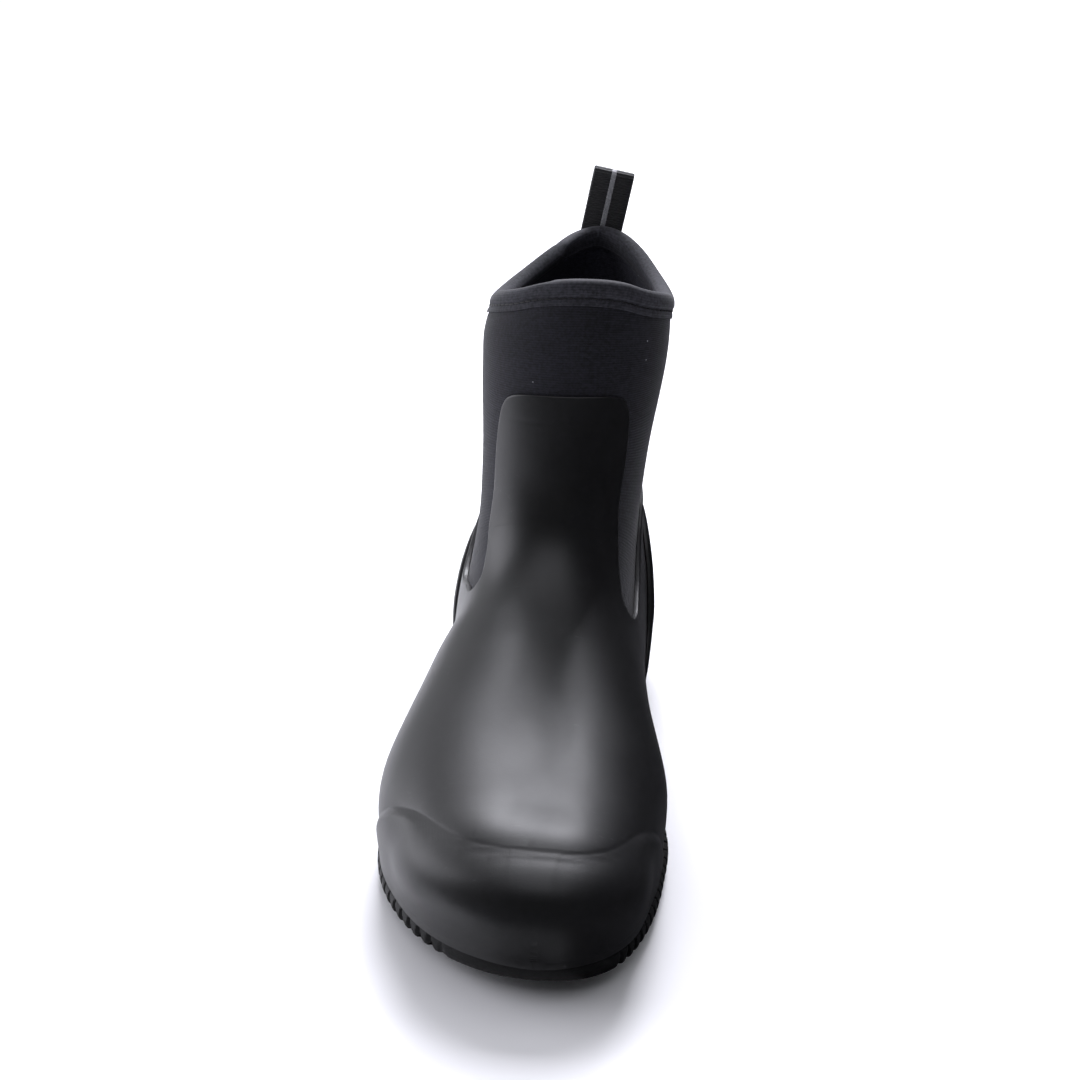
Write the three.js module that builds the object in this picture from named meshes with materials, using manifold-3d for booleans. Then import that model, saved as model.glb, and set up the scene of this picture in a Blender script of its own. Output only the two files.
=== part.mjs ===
// Ankle-high pull-on rain boot for the right foot: a neoprene bootie inside a moulded rubber shell.
// Millimetres. +Z is up, the toe points to -Y, and the medial side (the big toe's side) is +X.
// Every curved layer is an offset of one form, so the layers stay parallel and never touch.
import * as THREE from "three";
import { mergeVertices } from "three/addons/utils/BufferGeometryUtils.js";
import Module from "manifold-3d";

const wasm = await Module();
wasm.setup();

// Driving dimensions
const SOLE_LENGTH = 300;
const BALL_WIDTH = 110;
const HEEL_SEAT = 24; // height of the heel seat above the floor
const INSTEP_HEIGHT = 92; // top of the foot form at the instep
const SHAFT_WIDTH = 77; // across the shaft where it is widest
const COLLAR_HEIGHT = 205; // mean height of the collar edge
const LUG_DEPTH = 4;
const NEOPRENE = 4; // wall of the bootie
const RUBBER = 2.2; // wall of the moulded shell
const GAP = 0.3; // clearance between neighbouring pieces
const TINY = 0.01;

// Plan of the sole edge: a row for each station from toe (0) to heel (1)
// centre and half are shares of BALL_WIDTH, at is a share of SOLE_LENGTH
const PLAN = [
  { at: 0.0, centre: 0.125, half: 0.5 },
  { at: 0.09, centre: 0.057, half: 0.5 },
  { at: 0.2, centre: 0.01, half: 0.505 },
  { at: 0.3, centre: 0.0, half: 0.5 },
  { at: 0.45, centre: -0.005, half: 0.435 },
  { at: 0.56, centre: 0.01, half: 0.385 },
  { at: 0.68, centre: -0.01, half: 0.358 },
  { at: 0.8, centre: -0.014, half: 0.365 },
  { at: 1.0, centre: -0.012, half: 0.365 },
];
const TOE_ROUND = { reach: 0.317 * SOLE_LENGTH, power: 2.25 };
const HEEL_ROUND = { reach: 0.147 * SOLE_LENGTH, power: 2.3 };

// Side view of the sole, shares of HEEL_SEAT: where the upper sits, and the root of the lugs
const SOLE_TOP = [
  { at: 0.0, level: 0.73 },
  { at: 0.15, level: 0.63 },
  { at: 0.28, level: 0.585 },
  { at: 0.42, level: 0.62 },
  { at: 0.56, level: 0.75 },
  { at: 0.7, level: 0.89 },
  { at: 0.84, level: 0.98 },
  { at: 1.0, level: 1.0 },
];
const SOLE_BOTTOM = [
  { at: 0.0, level: 0.29 },
  { at: 0.07, level: 0.225 },
  { at: 0.15, level: 0.182 },
  { at: 0.25, level: 0.167 },
  { at: 0.42, level: 0.167 },
  { at: 0.56, level: 0.38 },
  { at: 0.69, level: 0.5 },
  { at: 0.71, level: 0.167 },
  { at: 0.9, level: 0.167 },
  { at: 1.0, level: 0.23 },
];

// Ridge line of the foot form, shares of INSTEP_HEIGHT
const RIDGE = [
  { at: 0.0, top: 0.52 },
  { at: 0.1, top: 0.555 },
  { at: 0.2, top: 0.62 },
  { at: 0.3, top: 0.71 },
  { at: 0.4, top: 0.825 },
  { at: 0.5, top: 0.95 },
  { at: 0.6, top: 1.0 },
  { at: 0.75, top: 0.9 },
  { at: 1.0, top: 0.72 },
];
const TOE_DOME = { reach: 0.1 * SOLE_LENGTH, power: 2.3 };

// Shaft: level is a share of COLLAR_HEIGHT, centre and half are shares of SHAFT_WIDTH,
// front, widest and back are shares of SOLE_LENGTH, point is how blunt the back is
const SHAFT = [
  { level: 0.0, centre: 0.0, half: 0.43, front: 0.55, widest: 0.74, back: 0.945, point: 2.0 },
  { level: 0.22, centre: 0.005, half: 0.44, front: 0.55, widest: 0.74, back: 0.955, point: 2.0 },
  { level: 0.37, centre: 0.02, half: 0.44, front: 0.553, widest: 0.73, back: 0.945, point: 1.95 },
  { level: 0.51, centre: 0.04, half: 0.452, front: 0.557, widest: 0.72, back: 0.925, point: 1.9 },
  { level: 0.64, centre: 0.07, half: 0.465, front: 0.56, widest: 0.71, back: 0.917, point: 1.85 },
  { level: 0.81, centre: 0.113, half: 0.5, front: 0.56, widest: 0.7, back: 0.917, point: 1.8 },
  { level: 0.9, centre: 0.135, half: 0.495, front: 0.56, widest: 0.69, back: 0.915, point: 1.7 },
  { level: 1.0, centre: 0.18, half: 0.44, front: 0.565, widest: 0.685, back: 0.9, point: 1.6 },
];
const FRONT_POWER = 2.2;
const ANKLE_BLEND = 24; // how softly foot and shaft run together

const FORM_INSET = 3.2; // the bootie stands this far inside the sole edge at its widest line
const FEATHER_PULL = 3.5; // how much further it is drawn in where it meets the sole
const WIDEST_LIFT = 14; // height of the widest line above the sole's top
const DOME_POWER = 2.25;

// Smooth value of one column of a table between its rows
function along(rows, key, column, at) {
  const last = rows.length - 1;
  let i = 0;
  while (i < last - 1 && at > rows[i + 1][key]) i += 1;
  const slope = (k) => {
    const a = rows[Math.max(k - 1, 0)];
    const b = rows[Math.min(k + 1, last)];
    return (b[column] - a[column]) / (b[key] - a[key]);
  };
  const span = rows[i + 1][key] - rows[i][key];
  const u = Math.min(Math.max((at - rows[i][key]) / span, 0), 1);
  const rise = rows[i + 1][column] - rows[i][column];
  const flat = rise === 0 ? 0 : 1;
  const m0 = flat * slope(i) * span;
  const m1 = flat * slope(i + 1) * span;
  const v = 1 - u;
  return (
    rows[i][column] * v * v * (1 + 2 * u) +
    rows[i + 1][column] * u * u * (3 - 2 * u) +
    m0 * u * v * v -
    m1 * u * u * v
  );
}

// Grows from 0 at the end of a rounded outline to 1 where its sides run on
function roundEnd(depth, { reach, power }) {
  if (depth >= reach) return 1;
  if (depth <= 0) return 0;
  return (1 - (1 - depth / reach) ** power) ** (1 / power);
}

function plan(station, inset) {
  const at = station / SOLE_LENGTH;
  const wide = along(PLAN, "at", "half", at) * BALL_WIDTH - inset;
  const toe = roundEnd(station - inset, TOE_ROUND);
  const heel = roundEnd(SOLE_LENGTH - inset - station, HEEL_ROUND);
  return { centre: along(PLAN, "at", "centre", at) * BALL_WIDTH, half: wide * toe * heel };
}

const soleTop = (station) => along(SOLE_TOP, "at", "level", station / SOLE_LENGTH) * HEEL_SEAT;
const soleBottom = (station) => along(SOLE_BOTTOM, "at", "level", station / SOLE_LENGTH) * HEEL_SEAT;

const FORM_SCALE = 38; // turns the form's relative reach into roughly millimetres

// Below 0 inside the foot form, above 0 outside
function footForm(x, station, z) {
  const { centre, half } = plan(station, FORM_INSET);
  if (half < TINY) return FORM_SCALE;
  const low = soleTop(station);
  const widest = low + WIDEST_LIFT;
  if (z < widest) {
    const down = (widest - z) / WIDEST_LIFT;
    const reach = half - FEATHER_PULL * down * down;
    return reach > TINY ? (Math.abs(x - centre) / reach - 1) * FORM_SCALE : FORM_SCALE;
  }
  const ridge = along(RIDGE, "at", "top", station / SOLE_LENGTH) * INSTEP_HEIGHT;
  const top = (ridge - widest) * roundEnd(station - FORM_INSET, TOE_DOME);
  const across = (Math.abs(x - centre) / half) ** DOME_POWER;
  const up = ((z - widest) / Math.max(top, TINY)) ** DOME_POWER;
  return ((across + up) ** (1 / DOME_POWER) - 1) * FORM_SCALE;
}

function shaftForm(x, station, z) {
  const level = z / COLLAR_HEIGHT;
  const row = (column) => along(SHAFT, "level", column, level);
  const side = Math.abs(x - row("centre") * SHAFT_WIDTH) / (row("half") * SHAFT_WIDTH);
  const widest = row("widest") * SOLE_LENGTH;
  const end = (station < widest ? row("front") : row("back")) * SOLE_LENGTH;
  const ahead = (station - widest) / (end - widest);
  const power = station < widest ? FRONT_POWER : row("point");
  return ((side ** power + ahead ** power) ** (1 / power) - 1) * FORM_SCALE;
}

// The boot's form: foot and shaft run together softly
function form(x, station, z) {
  const foot = footForm(x, station, z);
  const shaft = shaftForm(x, station, z);
  const near = Math.max(ANKLE_BLEND - Math.abs(foot - shaft), 0) / ANKLE_BLEND;
  return Math.min(foot, shaft) - (near * near * ANKLE_BLEND) / 4;
}

// Sections: planes through the form that fan out round the toe, stand upright at the ball,
// fan back about a point before the ankle, and lie level up the shaft
const TOE_FAN = { station: 0.207 * SOLE_LENGTH, z: -0.9 * HEEL_SEAT };
const ANKLE_FAN = { station: 0.333 * SOLE_LENGTH, z: 0.73 * COLLAR_HEIGHT };
const FOOT_SECTIONS = 16;
const HEEL_SECTIONS = 5;
const SHAFT_SECTIONS = 4;
const HALF_COLUMNS = 14; // points from the sole to the ridge on each side
const RAYS = 48; // rays cast on each side of a section before its points are spread evenly
const TIP_CROWDING = 0.8; // how much closer the sections stand at the toe and the heel
const FIRST_SECTION = 0.5; // the first section stands this far behind the toe's tip
const BALL_STATION = 0.3 * SOLE_LENGTH;
const ANKLE_STATION = 0.72 * SOLE_LENGTH; // middle of the shaft

// Height of the collar edge: level is a share of COLLAR_HEIGHT
const COLLAR_EDGE = [
  { at: 0.555, level: 1.014 },
  { at: 0.575, level: 1.0 },
  { at: 0.6, level: 0.98 },
  { at: 0.65, level: 0.959 },
  { at: 0.7, level: 0.944 },
  { at: 0.78, level: 0.961 },
  { at: 0.85, level: 1.002 },
  { at: 0.9, level: 1.03 },
];
const collarEdge = (station) =>
  along(COLLAR_EDGE, "at", "level", station / SOLE_LENGTH) * COLLAR_HEIGHT;

// Distance at which value(distance) first turns positive
const SEARCH_STEP = 1;
const SEARCH_REACH = 0.8 * SOLE_LENGTH;
const HALVINGS = 24;
function firstOutside(value) {
  let far = SEARCH_STEP;
  while (value(far) < 0 && far < SEARCH_REACH) far += SEARCH_STEP;
  let near = far - SEARCH_STEP;
  for (let i = 0; i < HALVINGS; i += 1) {
    const mid = (near + far) / 2;
    if (value(mid) < 0) near = mid;
    else far = mid;
  }
  return (near + far) / 2;
}

// The two ends of the line where the form meets the sole's top
const onSole = (station) => form(plan(station, 0).centre, station, soleTop(station) + TINY);
const TOE_TIP = BALL_STATION - firstOutside((d) => onSole(BALL_STATION - d));
const HEEL_TIP = BALL_STATION + firstOutside((d) => onSole(BALL_STATION + d));

function unit(station, z) {
  const long = Math.hypot(station, z);
  return { station: station / long, z: z / long };
}

function sectionPlanes() {
  const planes = [];
  for (let i = 0; i <= FOOT_SECTIONS; i += 1) {
    const u = i / FOOT_SECTIONS;
    const share = u - (TIP_CROWDING * Math.sin(2 * Math.PI * u)) / (2 * Math.PI);
    const station = TOE_TIP + Math.max(share * (HEEL_TIP - TOE_TIP), FIRST_SECTION);
    const z = soleTop(station);
    let up = { station: 0, z: 1 };
    if (station < TOE_FAN.station) up = unit(station - TOE_FAN.station, z - TOE_FAN.z);
    if (station > ANKLE_FAN.station) up = unit(ANKLE_FAN.station - station, ANKLE_FAN.z - z);
    planes.push({ station, z, up, onFoot: i < FOOT_SECTIONS, closed: i === FOOT_SECTIONS, edge: 0 });
  }
  const heel = planes[planes.length - 1];
  const first = Math.atan2(-heel.up.station, heel.up.z);
  const station = ANKLE_STATION;
  for (let i = 1; i <= HEEL_SECTIONS; i += 1) {
    const angle = first + ((Math.PI / 2 - first) * i) / HEEL_SECTIONS;
    const z = ANKLE_FAN.z - (station - ANKLE_FAN.station) / Math.tan(angle);
    const up = { station: -Math.sin(angle), z: Math.cos(angle) };
    planes.push({ station, z, up, onFoot: false, closed: true, edge: 0 });
  }
  for (let i = 1; i <= SHAFT_SECTIONS; i += 1) {
    const edge = i / SHAFT_SECTIONS;
    const z = ANKLE_FAN.z + (COLLAR_HEIGHT - ANKLE_FAN.z) * edge;
    const up = { station: -1, z: 0 };
    planes.push({ station, z, up, onFoot: false, closed: true, edge });
  }
  return planes;
}

// A point of a section's plane; the top sections bend until the last one is the collar edge
function inPlane(plane, x, rise) {
  const station = plane.station + rise * plane.up.station;
  const z = plane.z + rise * plane.up.z;
  return [x, station, z + plane.edge ** 2 * (collarEdge(station) - COLLAR_HEIGHT)];
}

// Points of one section, from the lateral sole line over the ridge to the medial sole line
function sectionPoints(plane) {
  const foot = plan(plane.station, 0).centre;
  const value = (x, rise) => form(...inPlane(plane, x, rise));
  const shaftCentre = along(SHAFT, "level", "centre", plane.z / COLLAR_HEIGHT) * SHAFT_WIDTH;
  const back = Math.min(Math.max((plane.station - BALL_STATION) / (HEEL_TIP - BALL_STATION), 0), 1);
  const x0 = plane.onFoot || plane.edge === 0 ? foot + back * (shaftCentre - foot) : shaftCentre;
  const top = firstOutside((d) => value(x0, d));
  const standsOnSole = plane.z < soleTop(plane.station) + GAP;
  const bottom = standsOnSole ? 0 : -firstOutside((d) => value(x0, -d));
  const rise0 = (top + bottom) / 2;
  const tall = top - rise0;
  const halves = [-1, 1].map((side) => {
    const wide = firstOutside((d) => value(x0 + side * d, rise0));
    let last = Math.PI;
    if (plane.onFoot) {
      const soleLine = firstOutside((d) => value(x0 + side * d, TINY));
      last = Math.atan2(soleLine / wide, -rise0 / tall);
    }
    const dense = [];
    for (let i = 0; i <= RAYS; i += 1) {
      const turn = (last * i) / RAYS;
      const dx = side * Math.sin(turn) * wide;
      const dr = Math.cos(turn) * tall;
      const long = Math.hypot(dx, dr);
      const onRay = (d) => [x0 + (dx * d) / long, rise0 + (dr * d) / long];
      const out = firstOutside((d) => value(...onRay(d)));
      dense.push(new THREE.Vector3(...inPlane(plane, ...onRay(out))));
    }
    return evenly(dense, HALF_COLUMNS);
  });
  return [...halves[0].reverse(), ...halves[1].slice(1)];
}

// The same polyline with its points spread evenly along it
function evenly(points, count) {
  const run = [0];
  for (let i = 1; i < points.length; i += 1) run.push(run[i - 1] + points[i].distanceTo(points[i - 1]));
  const out = [];
  let k = 0;
  for (let i = 0; i <= count; i += 1) {
    const want = (run[run.length - 1] * i) / count;
    while (k < run.length - 2 && run[k + 1] < want) k += 1;
    const share = (want - run[k]) / (run[k + 1] - run[k]);
    out.push(points[k].clone().lerp(points[k + 1], share));
  }
  return out;
}

// The grid of the bootie's outer face: rows of points with their outward normals
function makeGrid() {
  const planes = sectionPlanes();
  const rows = planes.map((plane) => sectionPoints(plane));
  const last = rows[0].length - 1;
  const normals = rows.map((row, k) =>
    row.map((point, j) => {
      const seam = planes[k].closed && (j === 0 || j === last);
      const ahead = seam ? row[1] : row[Math.min(j + 1, last)];
      const behind = seam ? row[last - 1] : row[Math.max(j - 1, 0)];
      const [lower, upper] = [rows[Math.max(k - 1, 0)], rows[Math.min(k + 1, rows.length - 1)]];
      const below = seam ? lower[0].clone().lerp(lower[last], 0.5) : lower[j];
      const normal = ahead.clone().sub(behind).cross(upper[j].clone().sub(below));
      normal.z = Math.max(normal.z, 0); // the walls stand upright under the widest line
      return normal.normalize();
    }),
  );
  return { planes, rows, normals, last };
}
const GRID = makeGrid();

// One closed solid of triangles from a list of corner points
function solid(points, faces) {
  const geometry = new THREE.BufferGeometry();
  geometry.setAttribute("position", new THREE.Float32BufferAttribute(points.flat(), 3));
  geometry.setIndex(faces.flat());
  return toManifold(geometry);
}

const WELD = 1e-3;
function toManifold(geometry) {
  const bare = geometry.clone();
  bare.deleteAttribute("normal");
  bare.deleteAttribute("uv");
  const merged = mergeVertices(bare, WELD);
  return new wasm.Manifold(
    new wasm.Mesh({
      numProp: 3,
      vertProperties: merged.attributes.position.array,
      triVerts: new Uint32Array(merged.index.array),
    }),
  );
}

// A wall that follows the form, between two distances from the bootie's outer face
function wall(inner, outer) {
  const { planes, rows, normals, last } = GRID;
  const index = (k, j) => k * (last + 1) + (planes[k].closed && j === last ? 0 : j);
  const points = [inner, outer].flatMap((distance) =>
    rows.flatMap((row, k) =>
      row.map((point, j) => {
        const [x, station, z] = point.clone().addScaledVector(normals[k][j], distance).toArray();
        const end = j === 0 || j === last;
        const onSoleLine = k === 0 || (end && planes[k].onFoot) || (end && planes[k - 1].onFoot);
        return [x, station, onSoleLine ? soleTop(station) + GAP : z];
      }),
    ),
  );
  const shift = rows.length * (last + 1);
  const sheet = [];
  for (let k = 0; k < rows.length - 1; k += 1) {
    for (let j = 0; j < last; j += 1) {
      const [a, b, c, d] = [index(k, j), index(k, j + 1), index(k + 1, j + 1), index(k + 1, j)];
      if (j < last / 2) sheet.push([a, c, b], [a, d, c]);
      else sheet.push([a, d, b], [b, d, c]);
    }
  }
  const edges = new Map();
  for (const [a, b, c] of sheet) {
    for (const [from, to] of [[a, b], [b, c], [c, a]]) {
      if (!edges.delete(`${to} ${from}`)) edges.set(`${from} ${to}`, [from, to]);
    }
  }
  const outerFace = sheet.map(([a, b, c]) => [a + shift, c + shift, b + shift]);
  const rim = [...edges.values()].flatMap(([from, to]) => [
    [to, from, to + shift],
    [from, from + shift, to + shift],
  ]);
  return solid(points, [...sheet, ...outerFace, ...rim]);
}

// A closed outline drawn in the side view, stations and heights, as a block through the whole width
// tilt lets the outline sit lower on the medial side than on the lateral side
function sideBlock(outline, tilt = () => 0) {
  const shape = new THREE.Shape(outline.map(([station, z]) => new THREE.Vector2(station, z)));
  const wide = 2 * BALL_WIDTH;
  const geometry = new THREE.ExtrudeGeometry(shape, { depth: wide, bevelEnabled: false, steps: 1 });
  const position = geometry.getAttribute("position");
  for (let i = 0; i < position.count; i += 1) {
    const [station, z, across] = [position.getX(i), position.getY(i), position.getZ(i)];
    const x = across - wide / 2;
    position.setXYZ(i, x, station, z + tilt(station, z) * x);
  }
  return toManifold(geometry);
}

// A smooth line through rows of { at, level }, shares of SOLE_LENGTH and of a height above base
function sideLine(rows, height, pieces, base = () => 0) {
  const knots = rows.map(({ at, level }) => {
    const station = at * SOLE_LENGTH;
    return new THREE.Vector2(station, base(station) + level * height);
  });
  return new THREE.SplineCurve(knots).getPoints(pieces).map(({ x, y }) => [x, y]);
}

// Edge of the rubber shell in the side view, from the panel's top down into the ankle notch,
// up the quarter and back to the heel: level is a share of COLLAR_HEIGHT
const SHELL_EDGE = [
  { at: 0.545, level: 0.79 },
  { at: 0.572, level: 0.787 },
  { at: 0.588, level: 0.766 },
  { at: 0.597, level: 0.7 },
  { at: 0.601, level: 0.6 },
  { at: 0.592, level: 0.5 },
  { at: 0.565, level: 0.435 },
  { at: 0.538, level: 0.39 },
  { at: 0.542, level: 0.36 },
  { at: 0.575, level: 0.35 },
  { at: 0.625, level: 0.352 },
  { at: 0.655, level: 0.365 },
  { at: 0.68, level: 0.39 },
  { at: 0.705, level: 0.42 },
  { at: 0.75, level: 0.467 },
  { at: 0.82, level: 0.515 },
  { at: 0.96, level: 0.56 },
];
const EDGE_PIECES = 40;
const NOTCH_TILT = 0.15; // the notch is this much lower per millimetre towards the medial side
const NOTCH_BACK = { from: 0.58, run: 0.12, turn: 2.2 }; // where the tilt turns round, and by how much
const PANEL_TOP = SHELL_EDGE[0].level * COLLAR_HEIGHT;
const NOTCH_BOTTOM = 0.35 * COLLAR_HEIGHT;
const COUNTER_FOOT = 0.45 * INSTEP_HEIGHT; // height where the counter's rim begins

// The counter's tilt grows from nothing at its foot
function counterTilt(station, z) {
  return COUNTER_TILT * Math.min(Math.max((z - COUNTER_FOOT) / (NOTCH_BOTTOM - COUNTER_FOOT), 0), 1);
}

// The tilt fades out towards the level top edge of the panel, and turns round behind the notch
function notchTilt(station, z) {
  const up = Math.min(Math.max((z - NOTCH_BOTTOM) / (PANEL_TOP - NOTCH_BOTTOM), 0), 1);
  const behind = (station / SOLE_LENGTH - NOTCH_BACK.from) / NOTCH_BACK.run;
  const back = Math.min(Math.max(behind, 0), 1);
  return -NOTCH_TILT * (1 - up) * (1 - NOTCH_BACK.turn * back);
}

// Upper edge of the toe guard, and of the heel counter: level is a share of INSTEP_HEIGHT above
// the sole's top
const GUARD_EDGE = [
  { at: -0.1, level: 0.336 },
  { at: 0.045, level: 0.334 },
  { at: 0.09, level: 0.326 },
  { at: 0.145, level: 0.29 },
  { at: 0.185, level: 0.209 },
  { at: 0.215, level: 0.11 },
  { at: 0.24, level: 0.023 },
];
const COUNTER_EDGE = [
  { at: 0.62, level: -0.123 },
  { at: 0.667, level: 0.1 },
  { at: 0.705, level: 0.26 },
  { at: 0.74, level: 0.42 },
  { at: 0.775, level: 0.57 },
  { at: 0.82, level: 0.69 },
  { at: 0.87, level: 0.765 },
  { at: 0.94, level: 0.82 },
  { at: 1.1, level: 0.86 },
];
const COUNTER_TILT = 0.1; // the counter's top is this much higher per millimetre to the medial side
const GUARD_PIECES = 12;
const COUNTER_PIECES = 13;
const GUARD_STEP = 1.3; // the toe guard stands this far out of the shell
const COUNTER_WALL = 1.6;
const RIM_STEP = 1.9; // the counter's rim stands this far out of the counter
const RIM_WIDTH = 4.5;
const RIM_LIP = 0.6; // the rim reaches this far above the counter's plate

const FAR = 0.2 * SOLE_LENGTH; // how far blocks run past the boot
const shellOuter = GAP + RUBBER;
const counterInner = shellOuter + GAP;
const counterOuter = counterInner + COUNTER_WALL;

// Line just above the sole's top, between two stations: the toe guard ends here
function aboveSole(from, to) {
  const line = [];
  const pieces = 6;
  for (let i = 0; i <= pieces; i += 1) {
    const station = from + ((to - from) * i) / pieces;
    line.push([station, soleTop(station) + 3 * GAP]);
  }
  return line;
}

function makeShell() {
  const edge = sideLine(SHELL_EDGE, COLLAR_HEIGHT, EDGE_PIECES);
  const back = SOLE_LENGTH + FAR;
  const heelTop = edge[edge.length - 1][1];
  const region = [[-FAR, -FAR], [-FAR, PANEL_TOP], ...edge, [back, heelTop], [back, -FAR]];
  const body = wall(GAP, shellOuter).intersect(sideBlock(region, notchTilt));
  const guardLine = sideLine(GUARD_EDGE, INSTEP_HEIGHT, GUARD_PIECES, soleTop);
  const under = aboveSole(guardLine[guardLine.length - 1][0], -FAR);
  const guardRegion = [...guardLine, ...under];
  const guard = wall(GAP + RUBBER / 2, shellOuter + GUARD_STEP).intersect(sideBlock(guardRegion));
  return body.add(guard);
}

function makeCounter() {
  const line = sideLine(COUNTER_EDGE, INSTEP_HEIGHT, COUNTER_PIECES, soleTop);
  const start = line[0][0];
  const end = line[line.length - 1][0];
  const under = [[start, -FAR], ...line, [end, -FAR]];
  const rimLine = line.filter(([, z]) => z > COUNTER_FOOT);
  const raised = rimLine.map(([station, z]) => [station - RIM_LIP, z + RIM_LIP / 2]);
  const lowered = rimLine.map(([station, z]) => [station + RIM_WIDTH, z - RIM_WIDTH / 2]);
  const band = sideBlock([...raised, ...lowered.reverse()], counterTilt);
  const plate = wall(counterInner, counterOuter).intersect(sideBlock(under, counterTilt));
  const rim = wall(counterInner + COUNTER_WALL / 2, counterOuter + RIM_STEP).intersect(band);
  return plate.add(rim);
}

// Tape folded over the collar edge
const TAPE = 0.9; // its thickness
const TAPE_DROP = 6.5; // how far it reaches down each face
const TAPE_SHOULDER = -0.2; // height where its outer corners are cut off
function makeBinding() {
  const { rows, normals, last } = GRID;
  const [outside, inside] = [GAP, -NEOPRENE - GAP];
  // Each point is a distance out from the bootie's outer face and a height above its edge
  const profile = [
    [outside, GAP],
    [outside, -TAPE_DROP],
    [outside + TAPE, -TAPE_DROP],
    [outside + TAPE, TAPE_SHOULDER],
    [outside, GAP + TAPE],
    [inside, GAP + TAPE],
    [inside - TAPE, TAPE_SHOULDER],
    [inside - TAPE, -TAPE_DROP],
    [inside, -TAPE_DROP],
    [inside, GAP],
  ];
  const top = rows.length - 1;
  const points = [];
  for (let j = 0; j < last; j += 1) {
    const edge = rows[top][j];
    const rise = edge.clone().sub(rows[top - 1][j]).normalize();
    for (const [out, up] of profile) {
      const point = edge.clone().addScaledVector(normals[top][j], out);
      points.push(point.addScaledVector(rise, up).toArray());
    }
  }
  return loopSolid(points, last, profile.length);
}

// Closed ring of equal sections, each a closed loop of the same number of points
function loopSolid(points, count, size) {
  const faces = [];
  for (let j = 0; j < count; j += 1) {
    for (let i = 0; i < size; i += 1) {
      const next = ((j + 1) % count) * size;
      const turn = (i + 1) % size;
      const [a, b, c, d] = [j * size + i, j * size + turn, next + turn, next + i];
      faces.push([a, c, b], [a, d, c]);
    }
  }
  return solid(points, faces);
}

// Stations whose points lie evenly along the sole's outline
const OUTLINE_STEPS = 1500;
function evenStations(count, inset) {
  const dense = [];
  for (let i = 0; i <= OUTLINE_STEPS; i += 1) {
    const share = (1 - Math.cos((Math.PI * i) / OUTLINE_STEPS)) / 2;
    const station = inset + (SOLE_LENGTH - 2 * inset) * share;
    dense.push(new THREE.Vector3(plan(station, inset).half, station, 0));
  }
  return evenly(dense, count).map((point) => point.y);
}

// Plan outline as pairs of lateral and medial points at the same stations
function pairedOutline(count, inset) {
  return evenStations(count, inset).map((station) => {
    const { centre, half } = plan(station, inset);
    return { lateral: [centre - half, station], medial: [centre + half, station] };
  });
}

// A slab between stacked rings; each ring holds one height for every point of the outline
function slab(rings) {
  const points = [];
  const count = rings[0].length;
  const ends = [0, count - 1];
  for (const ring of rings) for (const pair of ring) points.push(pair.lateral, pair.medial);
  const at = (ring, i, side) => 2 * (ring * count + i) + (ends.includes(i) ? 0 : side);
  const top = rings.length - 1;
  const faces = [];
  const addQuad = (a, b, c, d, turned) => {
    if (turned) faces.push([d, c, b], [d, b, a]);
    else faces.push([a, b, c], [a, c, d]);
  };
  for (let i = 0; i < count - 1; i += 1) {
    addQuad(at(0, i, 0), at(0, i, 1), at(0, i + 1, 1), at(0, i + 1, 0), true);
    addQuad(at(top, i, 0), at(top, i, 1), at(top, i + 1, 1), at(top, i + 1, 0), false);
    for (let ring = 0; ring < top; ring += 1) {
      for (const side of [0, 1]) {
        const [low, high] = [at(ring, i, side), at(ring + 1, i, side)];
        addQuad(low, high, at(ring + 1, i + 1, side), at(ring, i + 1, side), side === 1);
      }
    }
  }
  return solid(points, faces.filter(([a, b, c]) => a !== b && b !== c && a !== c));
}

// The outline moved sideways along its own normals, by a depth for each point
function moved(outline, depth) {
  const shift = (side, i) => {
    const before = outline[Math.max(i - 1, 0)][side];
    const after = outline[Math.min(i + 1, outline.length - 1)][side];
    const tangent = new THREE.Vector2(after[0] - before[0], after[1] - before[1]).normalize();
    const out = side === "lateral" ? [-tangent.y, tangent.x] : [tangent.y, -tangent.x];
    const [x, station] = outline[i][side];
    const end = i === 0 || i === outline.length - 1;
    const by = depth(i, station);
    if (end) return [x, station + (i === 0 ? -by : by)];
    return [x + out[0] * by, station + out[1] * by];
  };
  return outline.map((pair, i) => ({ lateral: shift("lateral", i), medial: shift("medial", i) }));
}

const lifted = (outline, height) =>
  outline.map(({ lateral, medial }) => ({
    lateral: [...lateral, height(lateral[1])],
    medial: [...medial, height(medial[1])],
  }));

const TOOTH_PITCH = 5; // spacing of the V grooves round the sole's edge
const TOOTH_DEPTH = 2.6;
const LEDGE = 2.2; // height of the plain band above the teeth
const EDGE_DRAFT = 0.3; // the edge leans in by this much at the band, and again at the top
const EDGE_LEAN = 1.2; // and by this much at the lugs
const OUTLINE_SHARE = 2.25; // length of the sole's outline as a share of SOLE_LENGTH
const NOSE = 0.02 * SOLE_LENGTH; // the edge is plain at the very toe

function makeOutsole() {
  const count = 2 * Math.round((OUTLINE_SHARE * SOLE_LENGTH) / 2 / TOOTH_PITCH);
  const outline = pairedOutline(count, 0);
  const groove = (i, station) => (station > NOSE && i % 2 === 0 ? -TOOTH_DEPTH : -EDGE_LEAN);
  const toothed = moved(outline, groove);
  const rim = moved(outline, () => -2 * EDGE_DRAFT);
  const plain = moved(outline, () => -EDGE_DRAFT);
  const base = slab([
    lifted(toothed, soleBottom),
    lifted(plain, (station) => soleTop(station) - LEDGE),
    lifted(rim, soleTop),
  ]);
  return makeLugs().reduce((whole, lug) => whole.add(lug), base);
}

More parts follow.
